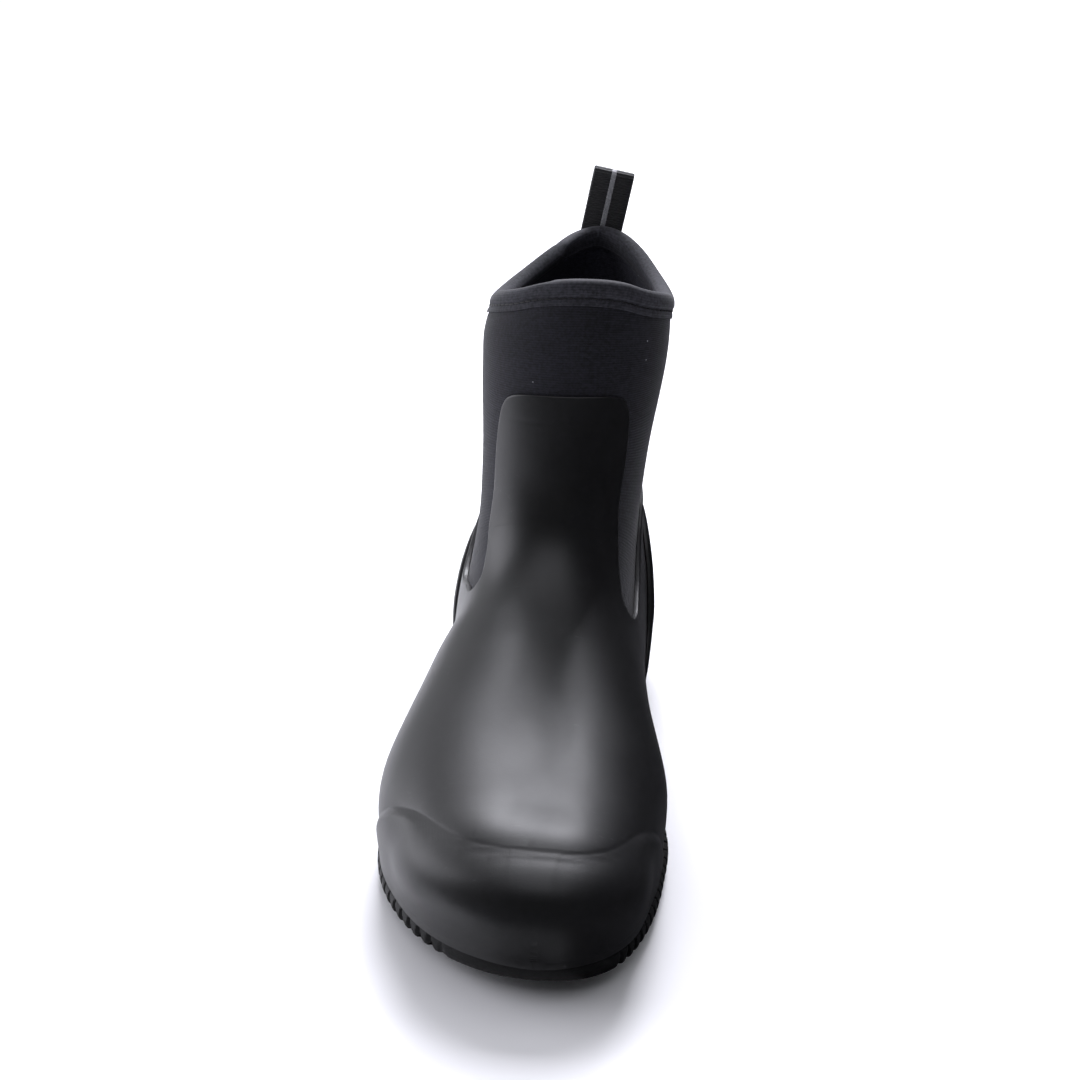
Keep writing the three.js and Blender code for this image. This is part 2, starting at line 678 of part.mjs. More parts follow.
// Lugs: a row of bars either side of the middle groove, across the forefoot and the heel
const LUG_ROWS = [
  { first: 0.07, last: 0.43, rows: 8 },
  { first: 0.745, last: 0.94, rows: 5 },
];
const LUG_LENGTH = 0.026 * SOLE_LENGTH;
const MIDDLE_GROOVE = 0.05 * BALL_WIDTH;
const LUG_MARGIN = 0.075 * BALL_WIDTH;
const LUG_SWEEP = 0.03 * SOLE_LENGTH; // a forefoot bar's outer end lies this much further back
const LUG_ROOT = 0.3; // share of LUG_DEPTH that a bar reaches up into the sole

function makeLugs() {
  const lugs = [];
  for (const { first, last, rows } of LUG_ROWS) {
    for (let i = 0; i < rows; i += 1) {
      const station = SOLE_LENGTH * (first + ((last - first) * i) / (rows - 1));
      for (const side of [-1, 1]) {
        const outer = station + (first < 0.5 ? LUG_SWEEP : 0);
        const near = plan(station, 0);
        const reach = Math.min(plan(outer, 0).half, plan(outer + LUG_LENGTH, 0).half) - LUG_MARGIN;
        const ends = [
          [near.centre + side * MIDDLE_GROOVE, station],
          [plan(outer, 0).centre + side * reach, outer],
        ];
        if (reach > 2 * MIDDLE_GROOVE) lugs.push(bar(ends, side));
      }
    }
  }
  return lugs;
}

// A straight bar between two ends, standing LUG_DEPTH out of the sole's bottom
function bar([[x0, s0], [x1, s1]], side) {
  const corners = [[x0, s0], [x1, s1], [x1, s1 + LUG_LENGTH], [x0, s0 + LUG_LENGTH]];
  const low = corners.map(([x, station]) => [x, station, soleBottom(station) - LUG_DEPTH]);
  const high = corners.map(([x, station]) => [x, station, soleBottom(station) + LUG_ROOT * LUG_DEPTH]);
  const faces = [[0, 2, 1], [0, 3, 2], [4, 5, 6], [4, 6, 7]];
  for (let i = 0; i < 4; i += 1) {
    const next = (i + 1) % 4;
    faces.push([i, next, next + 4], [i, next + 4, i + 4]);
  }
  return solid([...low, ...high], side > 0 ? faces : faces.map(([a, b, c]) => [a, c, b]));
}

const INSOLE = 3.5; // its thickness
const INSOLE_POINTS = 44;
function makeInsole() {
  const inset = FORM_INSET + FEATHER_PULL + NEOPRENE + 2 * GAP;
  const outline = pairedOutline(INSOLE_POINTS, inset);
  return slab([
    lifted(outline, (station) => soleTop(station) + GAP),
    lifted(outline, (station) => soleTop(station) + GAP + INSOLE),
  ]);
}

// Pull loop: webbing sewn to the back of the shaft, up past the collar, folded over and back down
const WEBBING_WIDTH = 18;
const WEBBING = 1.5; // its thickness
const LOOP_STAND = 26; // height of the fold above the collar edge
const LOOP_SEWN = 20; // length sewn below the collar edge
const LOOP_OPEN = 3.2; // space inside the fold
const LOOP_PART = 0.45; // share of LOOP_STAND where its two legs stand fully apart
const SLIT_FOOT = 0.3; // the slit between the legs starts at this share of that height
const LOOP_LEAN = 0.06; // radians towards the medial side
const LOOP_SHIFT = 0.3; // its seat lies this far to the medial side of the collar's back

function makeLoop() {
  const { rows, normals } = GRID;
  const top = rows.length - 1;
  const edge = rows[top][0];
  const rise = edge.clone().sub(rows[top - 1][0]).normalize();
  const out = normals[top][0].clone();
  out.addScaledVector(rise, -out.dot(rise)).normalize();
  const middle = WEBBING + LOOP_OPEN / 2;
  const apart = LOOP_PART * LOOP_STAND;
  const outline = new THREE.Shape();
  outline.moveTo(0, -LOOP_SEWN);
  outline.lineTo(2 * WEBBING, -LOOP_SEWN);
  outline.lineTo(2 * WEBBING, 0);
  outline.lineTo(2 * middle, apart);
  outline.lineTo(2 * middle, LOOP_STAND - middle);
  outline.absarc(middle, LOOP_STAND - middle, middle, 0, Math.PI, false);
  outline.lineTo(0, -LOOP_SEWN);
  const slit = new THREE.Path();
  slit.moveTo(WEBBING, SLIT_FOOT * apart);
  slit.lineTo(WEBBING, LOOP_STAND - middle);
  slit.absarc(middle, LOOP_STAND - middle, LOOP_OPEN / 2, Math.PI, 0, true);
  slit.lineTo(WEBBING + LOOP_OPEN, apart);
  outline.holes.push(slit);
  const geometry = new THREE.ExtrudeGeometry(outline, {
    depth: WEBBING_WIDTH,
    bevelEnabled: false,
    curveSegments: 5,
  });
  geometry.translate(0, 0, -WEBBING_WIDTH / 2);
  const lean = new THREE.Quaternion().setFromAxisAngle(out, LOOP_LEAN);
  const up = rise.clone().applyQuaternion(lean);
  const frame = new THREE.Matrix4().makeBasis(out, up, out.clone().cross(up));
  const seat = edge.clone().addScaledVector(out, 2 * GAP + TAPE);
  frame.setPosition(seat.setX(seat.x + LOOP_SHIFT));
  return toManifold(geometry.applyMatrix4(frame));
}

// The named piece, turned from stations to the part's own frame
function piece(name, made, colour, roughness) {
  const { vertProperties, triVerts } = made.getMesh();
  const geometry = new THREE.BufferGeometry();
  geometry.setAttribute("position", new THREE.Float32BufferAttribute(vertProperties, 3));
  geometry.setIndex(new THREE.Uint32BufferAttribute(triVerts, 1));
  geometry.computeVertexNormals();
  const material = new THREE.MeshStandardMaterial({ color: colour, roughness, metalness: 0 });
  const mesh = new THREE.Mesh(geometry, material);
  mesh.name = name;
  return mesh;
}

const boot = new THREE.Group();
boot.name = "rain_boot";
boot.add(
  piece("outsole", makeOutsole(), 0x17171a, 0.6),
  piece("insole", makeInsole(), 0x2a2a2e, 0.95),
  piece("neoprene_bootie", wall(-NEOPRENE, 0), 0x1f1f26, 0.9),
  piece("rubber_shell", makeShell(), 0x1b1b1e, 0.45),
  piece("heel_counter", makeCounter(), 0x1b1b1e, 0.45),
  piece("collar_binding", makeBinding(), 0x1a1a1e, 0.85),
  piece("pull_loop", makeLoop(), 0x18181a, 0.8),
);

// The origin is under the middle of the whole boot, on the floor
const box = new THREE.Box3().setFromObject(boot);
boot.position.set(-(box.min.x + box.max.x) / 2, -(box.min.y + box.max.y) / 2, -box.min.z);

export default boot;
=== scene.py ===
# %% [markdown]
# # A neoprene and rubber rain boot
# The real boot is a sock of knit-faced neoprene foam. A shell of black rubber is moulded round
# it, in one piece from the toe up the front of the shin. This lesson dresses the CAD model of
# the right boot: every visible layer is an offset of one form, as the layers are on the last.
#
# The frame comes first. It holds the CAD solids in metres, toe towards -Y, medial side +X.

# %% Load the frame
import math
import random

import bpy
import numpy as np
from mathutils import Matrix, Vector


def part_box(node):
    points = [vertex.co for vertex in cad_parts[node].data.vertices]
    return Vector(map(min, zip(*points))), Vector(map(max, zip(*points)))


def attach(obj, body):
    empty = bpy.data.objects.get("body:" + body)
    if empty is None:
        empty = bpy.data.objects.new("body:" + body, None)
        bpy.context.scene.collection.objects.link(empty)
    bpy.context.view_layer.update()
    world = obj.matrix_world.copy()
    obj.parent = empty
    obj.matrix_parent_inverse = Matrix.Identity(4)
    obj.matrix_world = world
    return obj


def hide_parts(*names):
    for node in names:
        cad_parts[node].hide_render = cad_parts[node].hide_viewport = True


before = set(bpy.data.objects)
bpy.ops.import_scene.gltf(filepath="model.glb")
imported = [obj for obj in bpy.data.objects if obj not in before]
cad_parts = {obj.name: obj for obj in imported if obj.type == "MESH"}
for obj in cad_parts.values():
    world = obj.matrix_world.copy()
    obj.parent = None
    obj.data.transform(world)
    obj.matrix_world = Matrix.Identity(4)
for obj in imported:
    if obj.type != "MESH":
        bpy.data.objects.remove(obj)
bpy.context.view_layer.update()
random.seed(11)

# %% [markdown]
# ## The last
# A bootmaker starts from a last, and so does this script. The shapes below are the tables of
# the CAD model, in millimetres: a station runs from the toe (0) to the heel (300), and a table
# gives its values at stations as shares of the named sizes.

# %% Driving sizes, millimetres
SOLE_LENGTH = 300
BALL_WIDTH = 110
HEEL_SEAT = 24
INSTEP_HEIGHT = 92
SHAFT_WIDTH = 77
COLLAR_HEIGHT = 205
LUG_DEPTH = 4
NEOPRENE = 4
RUBBER = 2.2
GAP = 0.3
TINY = 0.01


def table(names, *rows):
    """A dictionary of columns from rows written one to a line."""
    return dict(zip(names.split(), np.array(rows, float).T))


PLAN = table(
    "at centre half",
    (0.0, 0.125, 0.5),
    (0.09, 0.057, 0.5),
    (0.2, 0.01, 0.505),
    (0.3, 0.0, 0.5),
    (0.45, -0.005, 0.435),
    (0.56, 0.01, 0.385),
    (0.68, -0.01, 0.358),
    (0.8, -0.014, 0.365),
    (1.0, -0.012, 0.365),
)
TOE_ROUND = (0.317 * SOLE_LENGTH, 2.25)  # reach and power of the rounding
HEEL_ROUND = (0.147 * SOLE_LENGTH, 2.3)
SOLE_TOP = table(
    "at level",
    (0.0, 0.73),
    (0.15, 0.63),
    (0.28, 0.585),
    (0.42, 0.62),
    (0.56, 0.75),
    (0.7, 0.89),
    (0.84, 0.98),
    (1.0, 1.0),
)
SOLE_BOTTOM = table(
    "at level",
    (0.0, 0.29),
    (0.07, 0.225),
    (0.15, 0.182),
    (0.25, 0.167),
    (0.42, 0.167),
    (0.56, 0.38),
    (0.69, 0.5),
    (0.71, 0.167),
    (0.9, 0.167),
    (1.0, 0.23),
)
RIDGE = table(
    "at top",
    (0.0, 0.52),
    (0.1, 0.555),
    (0.2, 0.62),
    (0.3, 0.71),
    (0.4, 0.825),
    (0.5, 0.95),
    (0.6, 1.0),
    (0.75, 0.9),
    (1.0, 0.72),
)
TOE_DOME = (0.1 * SOLE_LENGTH, 2.3)
SHAFT = table(
    "level centre half front widest back point",
    (0.0, 0.0, 0.43, 0.55, 0.74, 0.945, 2.0),
    (0.22, 0.005, 0.44, 0.55, 0.74, 0.955, 2.0),
    (0.37, 0.02, 0.44, 0.553, 0.73, 0.945, 1.95),
    (0.51, 0.04, 0.452, 0.557, 0.72, 0.925, 1.9),
    (0.64, 0.07, 0.465, 0.56, 0.71, 0.917, 1.85),
    (0.81, 0.113, 0.5, 0.56, 0.7, 0.917, 1.8),
    (0.9, 0.135, 0.495, 0.56, 0.69, 0.915, 1.7),
    (1.0, 0.195, 0.422, 0.565, 0.685, 0.9, 1.6),
)
COLLAR_EDGE = table(
    "at level",
    (0.555, 1.014),
    (0.575, 1.0),
    (0.6, 0.98),
    (0.65, 0.959),
    (0.7, 0.944),
    (0.78, 0.961),
    (0.85, 1.006),
    (0.9, 1.038),
)
FRONT_POWER = 2.2
ANKLE_BLEND = 24
FORM_INSET = 3.2
FEATHER_PULL = 3.5
WIDEST_LIFT = 14
DOME_POWER = 2.25
FORM_SCALE = 38
print("last:", SOLE_LENGTH, "mm long,", BALL_WIDTH, "mm across the ball")

# %% [markdown]
# The form is a function that is negative inside the foot and positive outside. It is the CAD
# model's own function, written for whole arrays of points at once.

# %% The form as a function


def along(rows, key, column, at):
    """Smooth value of a column between the rows of its table."""
    keys, values = rows[key], rows[column]
    slopes = np.empty_like(values)
    slopes[1:-1] = (values[2:] - values[:-2]) / (keys[2:] - keys[:-2])
    slopes[0] = (values[1] - values[0]) / (keys[1] - keys[0])
    slopes[-1] = (values[-1] - values[-2]) / (keys[-1] - keys[-2])
    i = np.clip(np.searchsorted(keys, at, side="left") - 1, 0, len(keys) - 2)
    span = keys[i + 1] - keys[i]
    u = np.clip((at - keys[i]) / span, 0, 1)
    v = 1 - u
    flat = values[i + 1] != values[i]
    ends = values[i] * v * v * (1 + 2 * u) + values[i + 1] * u * u * (3 - 2 * u)
    return ends + flat * span * (slopes[i] * u * v * v - slopes[i + 1] * u * u * v)


def round_end(depth, rounding):
    reach, power = rounding
    share = np.clip(depth / reach, 0, 1)
    return (1 - (1 - share) ** power) ** (1 / power)


def plan(station, inset):
    """Centre and half width of the sole's outline, drawn in by inset."""
    at = station / SOLE_LENGTH
    wide = along(PLAN, "at", "half", at) * BALL_WIDTH - inset
    toe = round_end(station - inset, TOE_ROUND)
    heel = round_end(SOLE_LENGTH - inset - station, HEEL_ROUND)
    return along(PLAN, "at", "centre", at) * BALL_WIDTH, wide * toe * heel


def sole_top(station):
    return along(SOLE_TOP, "at", "level", station / SOLE_LENGTH) * HEEL_SEAT


def sole_bottom(station):
    return along(SOLE_BOTTOM, "at", "level", station / SOLE_LENGTH) * HEEL_SEAT


def collar_edge(station):
    return along(COLLAR_EDGE, "at", "level", station / SOLE_LENGTH) * COLLAR_HEIGHT


def foot_form(x, station, z):
    centre, half = plan(station, FORM_INSET)
    widest = sole_top(station) + WIDEST_LIFT
    down = np.clip((widest - z) / WIDEST_LIFT, 0, None)
    reach = half - FEATHER_PULL * down * down
    low = np.where(reach > TINY, np.abs(x - centre) / np.maximum(reach, TINY) - 1, 1)
    ridge = along(RIDGE, "at", "top", station / SOLE_LENGTH) * INSTEP_HEIGHT
    top = (ridge - widest) * round_end(station - FORM_INSET, TOE_DOME)
    across = (np.abs(x - centre) / np.maximum(half, TINY)) ** DOME_POWER
    up = (np.clip(z - widest, 0, None) / np.maximum(top, TINY)) ** DOME_POWER
    high = (across + up) ** (1 / DOME_POWER) - 1
    value = np.where(z < widest, low, high)
    return np.where(half < TINY, 1, value) * FORM_SCALE


def shaft_form(x, station, z):
    level = z / COLLAR_HEIGHT
    row = {name: along(SHAFT, "level", name, level) for name in SHAFT if name != "level"}
    side = np.abs(x - row["centre"] * SHAFT_WIDTH) / (row["half"] * SHAFT_WIDTH)
    widest = row["widest"] * SOLE_LENGTH
    front = station < widest
    end = np.where(front, row["front"], row["back"]) * SOLE_LENGTH
    power = np.where(front, FRONT_POWER, row["point"])
    ahead = np.clip((station - widest) / (end - widest), 0, None)
    return ((side**power + ahead**power) ** (1 / power) - 1) * FORM_SCALE


def form(x, station, z):
    """Below 0 inside the boot's form; foot and shaft run together softly."""
    foot, shaft = foot_form(x, station, z), shaft_form(x, station, z)
    near = np.clip(ANKLE_BLEND - np.abs(foot - shaft), 0, None) / ANKLE_BLEND
    return np.minimum(foot, shaft) - near * near * ANKLE_BLEND / 4


SEARCH_STEP = 1.0
SEARCH_REACH = 0.8 * SOLE_LENGTH
HALVINGS = 24


def first_outside(value, shape):
    """For each ray, the distance where value(distance) first turns positive."""
    far = np.full(shape, SEARCH_STEP)
    inside = value(far) < 0
    while inside.any() and far.max() < SEARCH_REACH:
        far = far + inside * SEARCH_STEP
        inside = inside & (value(far) < 0)
    near = far - SEARCH_STEP
    for _ in range(HALVINGS):
        middle = (near + far) / 2
        within = value(middle) < 0
        near = np.where(within, middle, near)
        far = np.where(within, far, middle)
    return (near + far) / 2


BALL_STATION = 0.3 * SOLE_LENGTH
ANKLE_STATION = 0.72 * SOLE_LENGTH


def on_sole(station):
    return form(plan(station, 0)[0], station, sole_top(station) + TINY)


TOE_TIP = BALL_STATION - float(first_outside(lambda d: on_sole(BALL_STATION - d), (1,))[0])
HEEL_TIP = BALL_STATION + float(first_outside(lambda d: on_sole(BALL_STATION + d), (1,))[0])
print("the upper meets the sole from", round(TOE_TIP, 1), "to", round(HEEL_TIP, 1), "mm")

# %% [markdown]
# ## Skin of the last
# The form becomes a fine grid of points. Sections fan out round the toe, stand upright at the
# ball, fan back round the ankle and lie level up the shaft, so the grid stays even
# everywhere. A ray from the middle of each section finds each point.

# %% Sections through the form
FOOT_SECTIONS = 120
HEEL_SECTIONS = 34
SHAFT_SECTIONS = 36
HALF_COLUMNS = 64
RAYS = 96
TIP_CROWDING = 0.8
FIRST_SECTION = 0.15
TOE_FAN = (0.207 * SOLE_LENGTH, -0.9 * HEEL_SEAT)
ANKLE_FAN = (0.333 * SOLE_LENGTH, 0.73 * COLLAR_HEIGHT)


def section_planes():
    """Rows of: station, height, direction up in the plane (two), on the foot, closed, edge."""
    planes = []
    for i in range(FOOT_SECTIONS + 1):
        u = i / FOOT_SECTIONS
        share = u - TIP_CROWDING * math.sin(2 * math.pi * u) / (2 * math.pi)
        station = TOE_TIP + max(share * (HEEL_TIP - TOE_TIP), FIRST_SECTION)
        z = float(sole_top(station))
        up = (0.0, 1.0)
        if station < TOE_FAN[0]:
            up = (station - TOE_FAN[0], z - TOE_FAN[1])
        if station > ANKLE_FAN[0]:
            up = (ANKLE_FAN[0] - station, ANKLE_FAN[1] - z)
        long = math.hypot(*up)
        last = i == FOOT_SECTIONS
        planes.append((station, z, up[0] / long, up[1] / long, not last, last, 0))
    first = math.atan2(-planes[-1][2], planes[-1][3])
    for i in range(1, HEEL_SECTIONS + 1):
        angle = first + (math.pi / 2 - first) * i / HEEL_SECTIONS
        z = ANKLE_FAN[1] - (ANKLE_STATION - ANKLE_FAN[0]) / math.tan(angle)
        planes.append((ANKLE_STATION, z, -math.sin(angle), math.cos(angle), 0, 1, 0))
    for i in range(1, SHAFT_SECTIONS + 1):
        edge = i / SHAFT_SECTIONS
        z = ANKLE_FAN[1] + (COLLAR_HEIGHT - ANKLE_FAN[1]) * edge
        planes.append((ANKLE_STATION, z, -1.0, 0.0, 0, 1, edge))
    return np.array(planes, float)


def evenly(points, count):
    """The same polyline with its points spread evenly along it."""
    run = np.concatenate([[0], np.cumsum(np.linalg.norm(np.diff(points, axis=0), axis=1))])
    want = np.linspace(0, run[-1], count + 1)
    return np.stack([np.interp(want, run, points[:, i]) for i in range(3)], axis=1)


def skin_grid():
    """Points of every section, from the lateral sole line over the ridge to the medial one."""
    planes = section_planes()
    station, z, up_s, up_z, on_foot, closed, edge = (planes[:, [i]] for i in range(7))

    def in_plane(x, rise):
        s = station + rise * up_s
        height = z + rise * up_z
        return x, s, height + edge**2 * (collar_edge(s) - COLLAR_HEIGHT)

    def value(x, rise):
        return form(*in_plane(x, rise))

    foot = plan(station, 0)[0]
    shaft = along(SHAFT, "level", "centre", z / COLLAR_HEIGHT) * SHAFT_WIDTH
    back = np.clip((station - BALL_STATION) / (HEEL_TIP - BALL_STATION), 0, 1)
    x0 = np.where(edge == 0, foot + back * (shaft - foot), shaft)
    size = x0.shape
    top = first_outside(lambda d: value(x0, d), size)
    stands = z < sole_top(station) + GAP
    bottom = np.where(stands, 0, -first_outside(lambda d: value(x0, -d), size))
    rise0 = (top + bottom) / 2
    tall = top - rise0
    halves = []
    for side in (-1, 1):
        wide = first_outside(lambda d: value(x0 + side * d, rise0), size)
        sole_line = first_outside(lambda d: value(x0 + side * d, TINY + 0 * d), size)
        last = np.where(on_foot > 0, np.arctan2(sole_line / wide, -rise0 / tall), math.pi)
        turn = last * np.linspace(0, 1, RAYS + 1)[None, :]
        dx, dr = side * np.sin(turn) * wide, np.cos(turn) * tall
        long = np.hypot(dx, dr)
        dx, dr = dx / long, dr / long
        out = first_outside(lambda d: value(x0 + dx * d, rise0 + dr * d), dx.shape)
        x, s, height = in_plane(x0 + dx * out, rise0 + dr * out)
        dense = np.stack([x, s, height], axis=2)
        halves.append(np.stack([evenly(row, HALF_COLUMNS) for row in dense]))
    return np.concatenate([halves[0][:, ::-1], halves[1][:, 1:]], axis=1), closed[:, 0] > 0


GRID, CLOSED = skin_grid()
LAST = GRID.shape[1] - 1
print("grid:", GRID.shape[0], "sections of", GRID.shape[1], "points")

# %% [markdown]
# Thick foam and moulded rubber can't hold a sharp corner. Two passes of averaging round the
# grid where the form comes to one: at the back of the collar, and where the heel turns in to
# the ankle.

# %% Soft corners
BACK_SOFTENING = 5  # columns over which stiff foam rounds the collar's point
BACK_ZONE = (1.4, 2.2)  # how surely and how widely the columns near the back take part
BACK_FADE = 0.7  # how fast the rounding grows towards the collar


def soften_back():
    """Rounds the point at the back of the upper shaft, more towards the collar."""
    sure, widely = BACK_ZONE
    reach = 3 * BACK_SOFTENING
    steps = np.arange(-reach, reach + 1)
    weight = np.exp(-((steps / BACK_SOFTENING) ** 2) / 2)
    weight /= weight.sum()
    first = len(GRID) - SHAFT_SECTIONS
    column = np.arange(LAST)
    from_back = np.minimum(column, LAST - column)
    near = np.clip(sure - from_back / (widely * BACK_SOFTENING), 0, 1)
    for row in range(first, len(GRID)):
        ring = GRID[row, :LAST]
        mean = sum(w * np.roll(ring, step, axis=0) for w, step in zip(weight, steps))
        share = near * ((row - first + 1) / SHAFT_SECTIONS) ** BACK_FADE
        GRID[row, :LAST] = ring + (mean - ring) * share[:, None]
        GRID[row, LAST] = GRID[row, 0]


HEEL_PASSES = 8  # how far the rounding reaches
HEEL_STATIONS = (0.86 * SOLE_LENGTH, 0.96 * SOLE_LENGTH)
HEEL_LOW, HEEL_HIGH = (55, 70), (98, 112)  # heights where the rounding fades in and out


def smooth(values, low, high):
    """0 below low, 1 above high, with a soft step between."""
    t = np.clip((values - low) / (high - low), 0, 1)
    return t * t * (3 - 2 * t)


def soften_heel():
    """Rounds the corner where the heel turns in to the ankle."""
    share = smooth(GRID[..., 1], *HEEL_STATIONS) * smooth(GRID[..., 2], *HEEL_LOW)
    share = share * (1 - smooth(GRID[..., 2], *HEEL_HIGH))
    for _ in range(HEEL_PASSES):
        between = (GRID[:-2] + GRID[2:]) / 2
        GRID[1:-1] += (between - GRID[1:-1]) * share[1:-1, :, None] / 2


soften_back()
soften_heel()
print("corners rounded over", BACK_SOFTENING, "columns and", HEEL_PASSES, "passes")

# %% [markdown]
# Every layer of the boot is an offset of this skin along its normals, and the normals come
# from the slope of the form itself. That keeps the layers parallel at any density of points.

# %% Normals of the skin, and the height climbed along it
PROBE = 0.04  # millimetres either side of a point, to feel the form's slope
NORMAL_PASSES = 2  # times that neighbouring sections even out their normals


def skin_normals():
    """Outward directions, from the slope of the form at each point."""
    x, station, z = np.moveaxis(GRID, 2, 0)
    slope = np.stack(
        [
            form(x + PROBE, station, z) - form(x - PROBE, station, z),
            form(x, station + PROBE, z) - form(x, station - PROBE, z),
            form(x, station, z + PROBE) - form(x, station, z - PROBE),
        ],
        axis=2,
    )
    slope[..., 2] = np.clip(slope[..., 2], 0, None)
    slope[0] = (0, -1, 0)  # the toe's very tip faces straight ahead
    for _ in range(NORMAL_PASSES):
        slope /= np.maximum(np.linalg.norm(slope, axis=2, keepdims=True), TINY * PROBE)
        slope[1:-1] = (slope[:-2] + 2 * slope[1:-1] + slope[2:]) / 4
    return slope / np.linalg.norm(slope, axis=2, keepdims=True)


NORMALS = skin_normals()
STEPS = np.linalg.norm(np.diff(GRID[:, HALF_COLUMNS], axis=0), axis=1)
CLIMB = np.concatenate([[0], np.cumsum(STEPS)])
print("length over the ridge, toe to collar:", round(float(CLIMB[-1])), "mm")

# %% [markdown]
# ## Cutting a layer out of the skin
# Rubber is cut to a line before it goes on the last. A sheet here is the skin with named
# fields at its points. It can be split exactly along a level line of any field, which gives a
# clean edge at any angle to the grid, and extra lines beside the edge for its rounding.

# %% A sheet of skin that can be split
SNAP = 0.06  # millimetres within which a point is taken to lie on a level line


class Sheet:
    """Triangles over the skin; every field has a value at each point."""

    def __init__(self):
        rows, columns = GRID.shape[:2]
        number = np.arange(rows * columns).reshape(rows, columns)
        number[CLOSED, LAST] = number[CLOSED, 0]
        a, b = number[:-1, :-1], number[:-1, 1:]
        d, c = number[1:, :-1], number[1:, 1:]
        halves = np.stack([np.stack([a, b, c], 2), np.stack([a, c, d], 2)])
        faces = halves.reshape(-1, 3)
        sole = np.zeros((rows, columns))
        on_foot = ~CLOSED
        sole[0] = 1
        sole[:, [0, LAST]] = (on_foot | np.roll(on_foot, 1))[:, None]
        self.fields = {
            "point": GRID.reshape(-1, 3).copy(),
            "normal": NORMALS.reshape(-1, 3).copy(),
            "climb": np.repeat(CLIMB, columns),
            "sole": sole.ravel(),
        }
        distinct = (faces[:, 0] != faces[:, 1]) & (faces[:, 1] != faces[:, 2])
        self.faces = faces[distinct & (faces[:, 0] != faces[:, 2])]

    def split(self, name, level):
        """Splits the triangles that the field's level line crosses."""
        value = self.fields[name]
        value[np.abs(value - level) < SNAP] = level
        side = np.sign(value - level)[self.faces]
        crossed = (side.min(axis=1) < 0) & (side.max(axis=1) > 0)
        kept, cut, side = self.faces[~crossed], self.faces[crossed], side[crossed]
        through = (side == 0).any(axis=1)
        lone = np.argmax(side * side.sum(axis=1, keepdims=True) < 0, axis=1)
        first = np.where(through, np.argmin(np.abs(side), axis=1), lone)
        a, b, c = (cut[np.arange(len(cut)), (first + i) % 3] for i in range(3))
        one, two = through, ~through
        pairs = [np.stack([b, c], 1)[one], np.stack([a, b], 1)[two], np.stack([a, c], 1)[two]]
        ends, which = np.unique(np.sort(np.concatenate(pairs), axis=1), axis=0, return_inverse=True)
        low, high = ends.T
        share = (level - value[low]) / (value[high] - value[low])
        start = len(value)
        for key, field in self.fields.items():
            part = share if field.ndim == 1 else share[:, None]
            self.fields[key] = np.concatenate([field, field[low] + (field[high] - field[low]) * part])
        self.fields[name][start:] = level
        bc, ab, ac = np.split(start + which.ravel(), [one.sum(), one.sum() + two.sum()])
        pieces = [(a[one], b[one], bc), (a[one], bc, c[one]), (a[two], ab, ac)]
        pieces += [(ab, b[two], c[two]), (ab, c[two], ac)]
        self.faces = np.concatenate([kept] + [np.stack(piece, 1) for piece in pieces])

    def trim(self, name, level=0.0):
        """Splits along the level line and keeps what lies above it."""
        self.split(name, level)
        self.faces = self.faces[self.fields[name][self.faces].mean(axis=1) > level]

    def tidy(self):
        used, faces = np.unique(self.faces, return_inverse=True)
        self.faces = faces.reshape(-1, 3)
        self.fields = {key: field[used] for key, field in self.fields.items()}

    def offset(self, distance):
        """The points moved out along their normals; the sole line stays level."""
        points = self.fields["point"] + self.fields["normal"] * np.reshape(distance, (-1, 1))
        on_line = self.fields["sole"] > 1 - TINY
        points[on_line, 2] = sole_top(points[on_line, 1]) + GAP
        return points


print("whole skin:", len(Sheet().faces), "triangles")

# %% [markdown]
# The CAD model draws the shell's edge in the side view. The same line is used here, and its
# distance is measured over the surface: a line seen at a slant is stretched back to its true
# length, so that a rounding keeps its width all the way round.

# %% Distance over the skin from a line drawn in the side view
TILT_ROUNDS = 8  # a tilted line depends on its own height, so it is found in rounds
STEEPEST = 0.06  # share of a slanting surface that is left, at least, in the side view


def side_line(rows, height, pieces):
    """A smooth line of stations and heights through the rows of a table."""
    knots = np.stack([rows["at"] * SOLE_LENGTH, rows["level"] * height], axis=1)
    t = np.linspace(0, len(knots) - 1, pieces + 1)
    i = np.minimum(t.astype(int), len(knots) - 2)
    w = (t - i)[:, None]
    last = len(knots) - 1
    p0, p1 = knots[np.maximum(i - 1, 0)], knots[i]
    p2, p3 = knots[i + 1], knots[np.minimum(i + 2, last)]
    v0, v1 = (p2 - p0) / 2, (p3 - p1) / 2
    cubic = (2 * p1 - 2 * p2 + v0 + v1) * w**3 + (-3 * p1 + 3 * p2 - 2 * v0 - v1) * w**2
    return cubic + v0 * w + p1


def inside(points, polygon):
    """Whether each side-view point lies inside the closed polygon."""
    s, z = points[:, [0]], points[:, [1]]
    a, b = polygon, np.roll(polygon, -1, axis=0)
    spans = (a[:, 1] > z) != (b[:, 1] > z)
    rise = np.where(a[:, 1] == b[:, 1], 1, b[:, 1] - a[:, 1])
    crossing = a[:, 0] + (z - a[:, 1]) * (b[:, 0] - a[:, 0]) / rise
    return (spans & (s < crossing)).sum(axis=1) % 2 == 1


